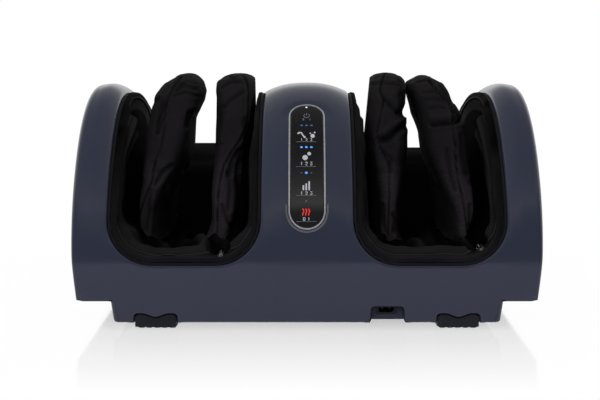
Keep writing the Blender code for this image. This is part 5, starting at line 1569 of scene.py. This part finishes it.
def build_zips():
    for tag, (corner, degrees) in ZIPS.items():
        side = -1 if tag == "left" else 1
        t = math.radians(degrees)
        reach = WELL_R - TUB_WALL - GAP - LINER_T - 1.8
        centre = Vector((corner + reach * math.sin(t) * 1.0, front(ZIP_Y), float(well_floor(ZIP_Y)) + WELL_R - TUB_WALL - reach * math.cos(t)))
        lo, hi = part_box(tag + "_zip_slider")
        middle = Vector(((lo[0] + hi[0]) / 2, (lo[1] + hi[1]) / 2, 0)) / MM
        turn = Matrix.Rotation(-t, 4, "Y")
        foot = Matrix.Translation(centre) @ turn
        big = Matrix.Diagonal((1.3, 1.3, 1.15, 1.0))
        # lower and upper plate joined at the nose, flanges at the sides, and the bail over them
        parts = [pebble((0, 0.0, 0.45), (2.9, 4.3, 0.45)), pebble((0, 0.0, 2.0), (2.8, 4.3, 0.55)), pebble((0, 3.2, 1.2), (1.0, 1.1, 1.2), 2.4),
                 pebble((-2.55, -0.6, 1.35), (0.35, 3.0, 0.8), 2.6, 10, 16), pebble((2.55, -0.6, 1.35), (0.35, 3.0, 0.8), 2.6, 10, 16)]
        arch = [(0, 1.0 + 2.9 * math.cos(a), 2.2 + 2.3 * math.sin(a)) for a in np.linspace(-0.15, math.pi + 0.15, 15)]
        parts.append(tube(arch, [0.62 + 0.1 * math.sin(math.pi * i / 14) for i in range(15)], seg=10, up=(1, 0, 0)))
        v, f = join(*parts)
        v = [tuple(foot @ big @ Vector(p)) for p in v]
        slider = add_mesh(tag + "_zip_car", v, f, [NICKEL])
        orient(slider)
        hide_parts(tag + "_zip_slider")
        # the pull: a tab with a hole at the bail, thinned towards its end, with three ribs to grip
        n = 40
        outer, inner = [], []
        for i in range(n):
            a = 2 * math.pi * i / n
            ca, sa = math.cos(a), math.sin(a)
            w = 2.3 + 1.2 * float(smooth((-8.5 * sa + 2.0) / 9.0))
            outer.append((w * math.copysign(abs(ca) ** 0.62, ca), -7.4 + 9.3 * math.copysign(abs(sa) ** 0.72, sa)))
            inner.append((1.15 * math.copysign(abs(ca) ** 0.7, ca), -1.3 + 2.1 * math.copysign(abs(sa) ** 0.8, sa)))
        outer, inner = np.array(outer), np.array(inner)
        rings = []
        for share, high in ((0.0, -0.2), (0.02, -0.42), (0.10, -0.5), (0.5, -0.5), (0.92, -0.5), (0.99, -0.35), (1.0, 0.0), (0.99, 0.35), (0.92, 0.5), (0.5, 0.5), (0.10, 0.5), (0.02, 0.42), (0.0, 0.2)):
            q = outer * (1 - share) + inner * share
            rings.append(np.column_stack([q, high * (1.0 + 0.25 * smooth((q[:, 1] + 4.0) / 4.0))]))
        parts = [(np.concatenate(rings).tolist(), grid(len(rings), n, wrap=True, wrap_rows=True))]
        for y in (-9.6, -11.4, -13.2):
            for z in (0.5, -0.5):
                parts.append(pebble((0, y, z), (2.1, 0.38, 0.26), 2.4, 8, 16))
        for z in (0.42, -0.42):
            parts.append(tube([(p[0] * 0.93, -7.4 + (p[1] + 7.4) * 0.965, z) for p in outer.tolist()], 0.42, seg=8, closed=True))
        v, f = join(*parts)
        hinge = foot @ Matrix.Translation((0, 1.0, 4.0)) @ Matrix.Rotation(math.radians(7.0 if side < 0 else 12.0), 4, "X")
        v = [tuple(hinge @ Vector(p)) for p in v]
        pull = add_mesh(tag + "_zip_tab", v, f, [NICKEL], body=tag + "_pull")
        orient(pull)
        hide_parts(tag + "_zip_pull")


build_zips()

# ---------------------------------------------------------------- pieces carried over from the solids
KEPT = {
    SHELL: ("upper_housing",),
    PAN: ("base_pan", "chassis_plate"),
    DULL: ("left_well_tub", "right_well_tub"),
    BLACK: ("motor_end_cap", "left_stand_clip", "right_stand_clip", "power_inlet") + tuple(t + k for t in PADDLES for k in ("_paddle", "_hub")),
    LINING: ("left_well_liner", "right_well_liner"),
    SILICONE: ("left_heater_pad", "right_heater_pad"),
    RUBBER: ("left_front_foot", "right_front_foot", "left_rear_foot", "right_rear_foot", "stand_sleeve"),
    CHROME: ("panel_bezel",),
    GLASS: ("panel_glass",),
    BOARD: ("control_board", "power_board"),
    ZINC: ("gearbox_housing", "gearbox_cover", "left_bearing_block", "right_bearing_block", "motor_can"),
    STEEL: ("left_shaft_bearing", "right_shaft_bearing", "drive_shaft", "motor_rotor", "tilt_stand") + tuple(t + "_bearing" for t in PADDLES),
    NYLON: ("worm_wheel",) + tuple(t + "_guide_fork" for t in PADDLES),
    FABRIC: tuple(t + "_cover" for t in PADDLES),
    TEETH: ("panel_lead", "motor_lead", "inlet_lead"),
    NICKEL: ("left_zip_slider", "right_zip_slider", "left_zip_pull", "right_zip_pull"),
}


def dress_kept():
    for mat, names in KEPT.items():
        for name in names:
            obj = bpy.data.objects.get(name)
            if obj is None or obj.type != "MESH":
                continue
            if not obj.material_slots:
                obj.data.materials.append(mat)
            for place in obj.material_slots:
                place.material = mat


dress_kept()

# ---------------------------------------------------------------- stage: floor, sky and lights
def build_stage():
    rings = [0, 150, 300, 450, 600, 800, 1000, 1250, 1500, 1800, 2200]
    verts, n = [(0.0, 0.0, 0.0)], 64
    for r in rings[1:]:
        verts += [(r * math.cos(2 * math.pi * i / n), r * math.sin(2 * math.pi * i / n), 0.0) for i in range(n)]
    faces = [(0, 1 + i, 1 + (i + 1) % n) for i in range(n)]
    faces += [tuple(reversed(f)) for f in grid(len(rings) - 1, n, wrap=True, start=1)]
    mat, tree, shader = new_material("pale_floor")
    shader.inputs["Base Color"].default_value = (0.96, 0.96, 0.965, 1.0)
    shader.inputs["Roughness"].default_value = 0.10
    shader.inputs["Metallic"].default_value = 1.0
    # painted shadow: the mirror floor turns clear away from the body and is strongest round and under its footprint, so
    # the dark reflection stands in for the body's shadow
    at = node(tree, "ShaderNodeTexCoord").outputs["Object"]
    away = node(tree, "ShaderNodeVectorMath", {0: at}, operation="ABSOLUTE").outputs["Vector"]
    away = node(tree, "ShaderNodeVectorMath", {0: away, 1: (0.17, 0.095, 0.0)}, operation="SUBTRACT").outputs["Vector"]
    away = node(tree, "ShaderNodeVectorMath", {0: away, 1: (0.0, 0.0, 0.0)}, operation="MAXIMUM").outputs["Vector"]
    far = node(tree, "ShaderNodeVectorMath", {0: away}, operation="LENGTH")
    part = node(tree, "ShaderNodeMapRange", {"Value": far.outputs["Value"], "From Min": 0.0, "From Max": 0.3})
    fade = ramp(tree, part.outputs["Result"], ((0.0, grey(0.66)), (0.21, grey(0.47)), (0.30, grey(0.34)), (0.34, grey(0.27)), (0.58, grey(0.165)), (0.79, grey(0.075)), (0.98, grey(0.0))))
    clear = node(tree, "ShaderNodeBsdfTransparent")
    mix = node(tree, "ShaderNodeMixShader", {0: fade, 1: clear.outputs["BSDF"], 2: shader.outputs["BSDF"]})
    tree.links.new(mix.outputs["Shader"], tree.nodes["Material Output"].inputs["Surface"])
    floor = add_mesh("floor", verts, faces, [mat], body=None)


def build_sky():
    """White to the eye; what the gloss and the cloth see is a soft box overhead, a bright back and a dim front."""
    world = bpy.data.worlds.new("studio")
    bpy.context.scene.world = world
    world.use_nodes = True
    tree = world.node_tree
    out = tree.nodes["World Output"]
    white = tree.nodes["Background"]
    white.inputs["Color"].default_value = (1, 1, 1, 1)
    white.inputs["Strength"].default_value = 1.0
    way = node(tree, "ShaderNodeTexCoord").outputs["Generated"]
    apart = node(tree, "ShaderNodeSeparateXYZ", {"Vector": way})
    rise = apart.outputs["Z"]
    fore = node(tree, "ShaderNodeMath", {0: apart.outputs["Y"], 1: -1.0}, operation="MULTIPLY").outputs["Value"]
    # front half: dim low band, then a soft box from about 30 degrees upwards, dimmer overhead
    front_ramp = ramp(tree, node(tree, "ShaderNodeMapRange", {"Value": rise, "From Min": -1.0, "From Max": 1.0}).outputs["Result"],
                      ((0.0, (0.66, 0.68, 0.80)), (0.345, (0.66, 0.68, 0.80)), (0.385, grey(0.12)), (0.505, grey(0.10)), (0.72, grey(0.12)), (0.765, grey(0.48)), (0.86, grey(0.26)), (0.96, grey(0.12)), (1.0, grey(0.10))))
    back_ramp = ramp(tree, node(tree, "ShaderNodeMapRange", {"Value": rise, "From Min": -1.0, "From Max": 1.0}).outputs["Result"],
                     ((0.0, grey(0.66)), (0.49, grey(0.80)), (0.505, grey(1.0)), (0.645, grey(1.0)), (0.71, grey(0.46)), (0.85, grey(0.27)), (0.97, grey(0.13)), (1.0, grey(0.10))))
    turn = node(tree, "ShaderNodeMapRange", {"Value": fore, "From Min": -0.35, "From Max": 0.45}, interpolation_type="SMOOTHSTEP")
    mixed = node(tree, "ShaderNodeMix", {0: turn.outputs["Result"], 6: back_ramp, 7: front_ramp}, data_type="RGBA")
    seen = node(tree, "ShaderNodeBackground", {"Color": mixed.outputs[2], "Strength": 1.0})
    path = node(tree, "ShaderNodeLightPath")
    pick = node(tree, "ShaderNodeMixShader", {0: path.outputs["Is Camera Ray"], 1: seen.outputs["Background"], 2: white.outputs["Background"]})
    tree.links.new(pick.outputs["Shader"], out.inputs["Surface"])


def area(name, at, aim, size, power, colour=(1, 1, 1)):
    data = bpy.data.lights.new(name, "AREA")
    data.shape, data.size, data.size_y = "RECTANGLE", size[0], size[1]
    data.energy, data.color = power, colour
    obj = bpy.data.objects.new(name, data)
    bpy.context.scene.collection.objects.link(obj)
    obj.location = at
    obj.rotation_euler = (Vector(aim) - Vector(at)).to_track_quat("-Z", "Y").to_euler()
    obj.visible_camera = False
    return obj


build_stage()
build_sky()
top_light = area("soft_top", (0.0, 0.15, 1.7), (0, 0, 0), (1.8, 1.5), 16.0)
top_light.visible_glossy = False
front_light = area("soft_front", (-0.55, -2.4, 1.15), (0, 0, 0.12), (1.3, 0.8), 31.0)
front_light.visible_glossy = False
bpy.context.scene.view_settings.view_transform = "Standard"
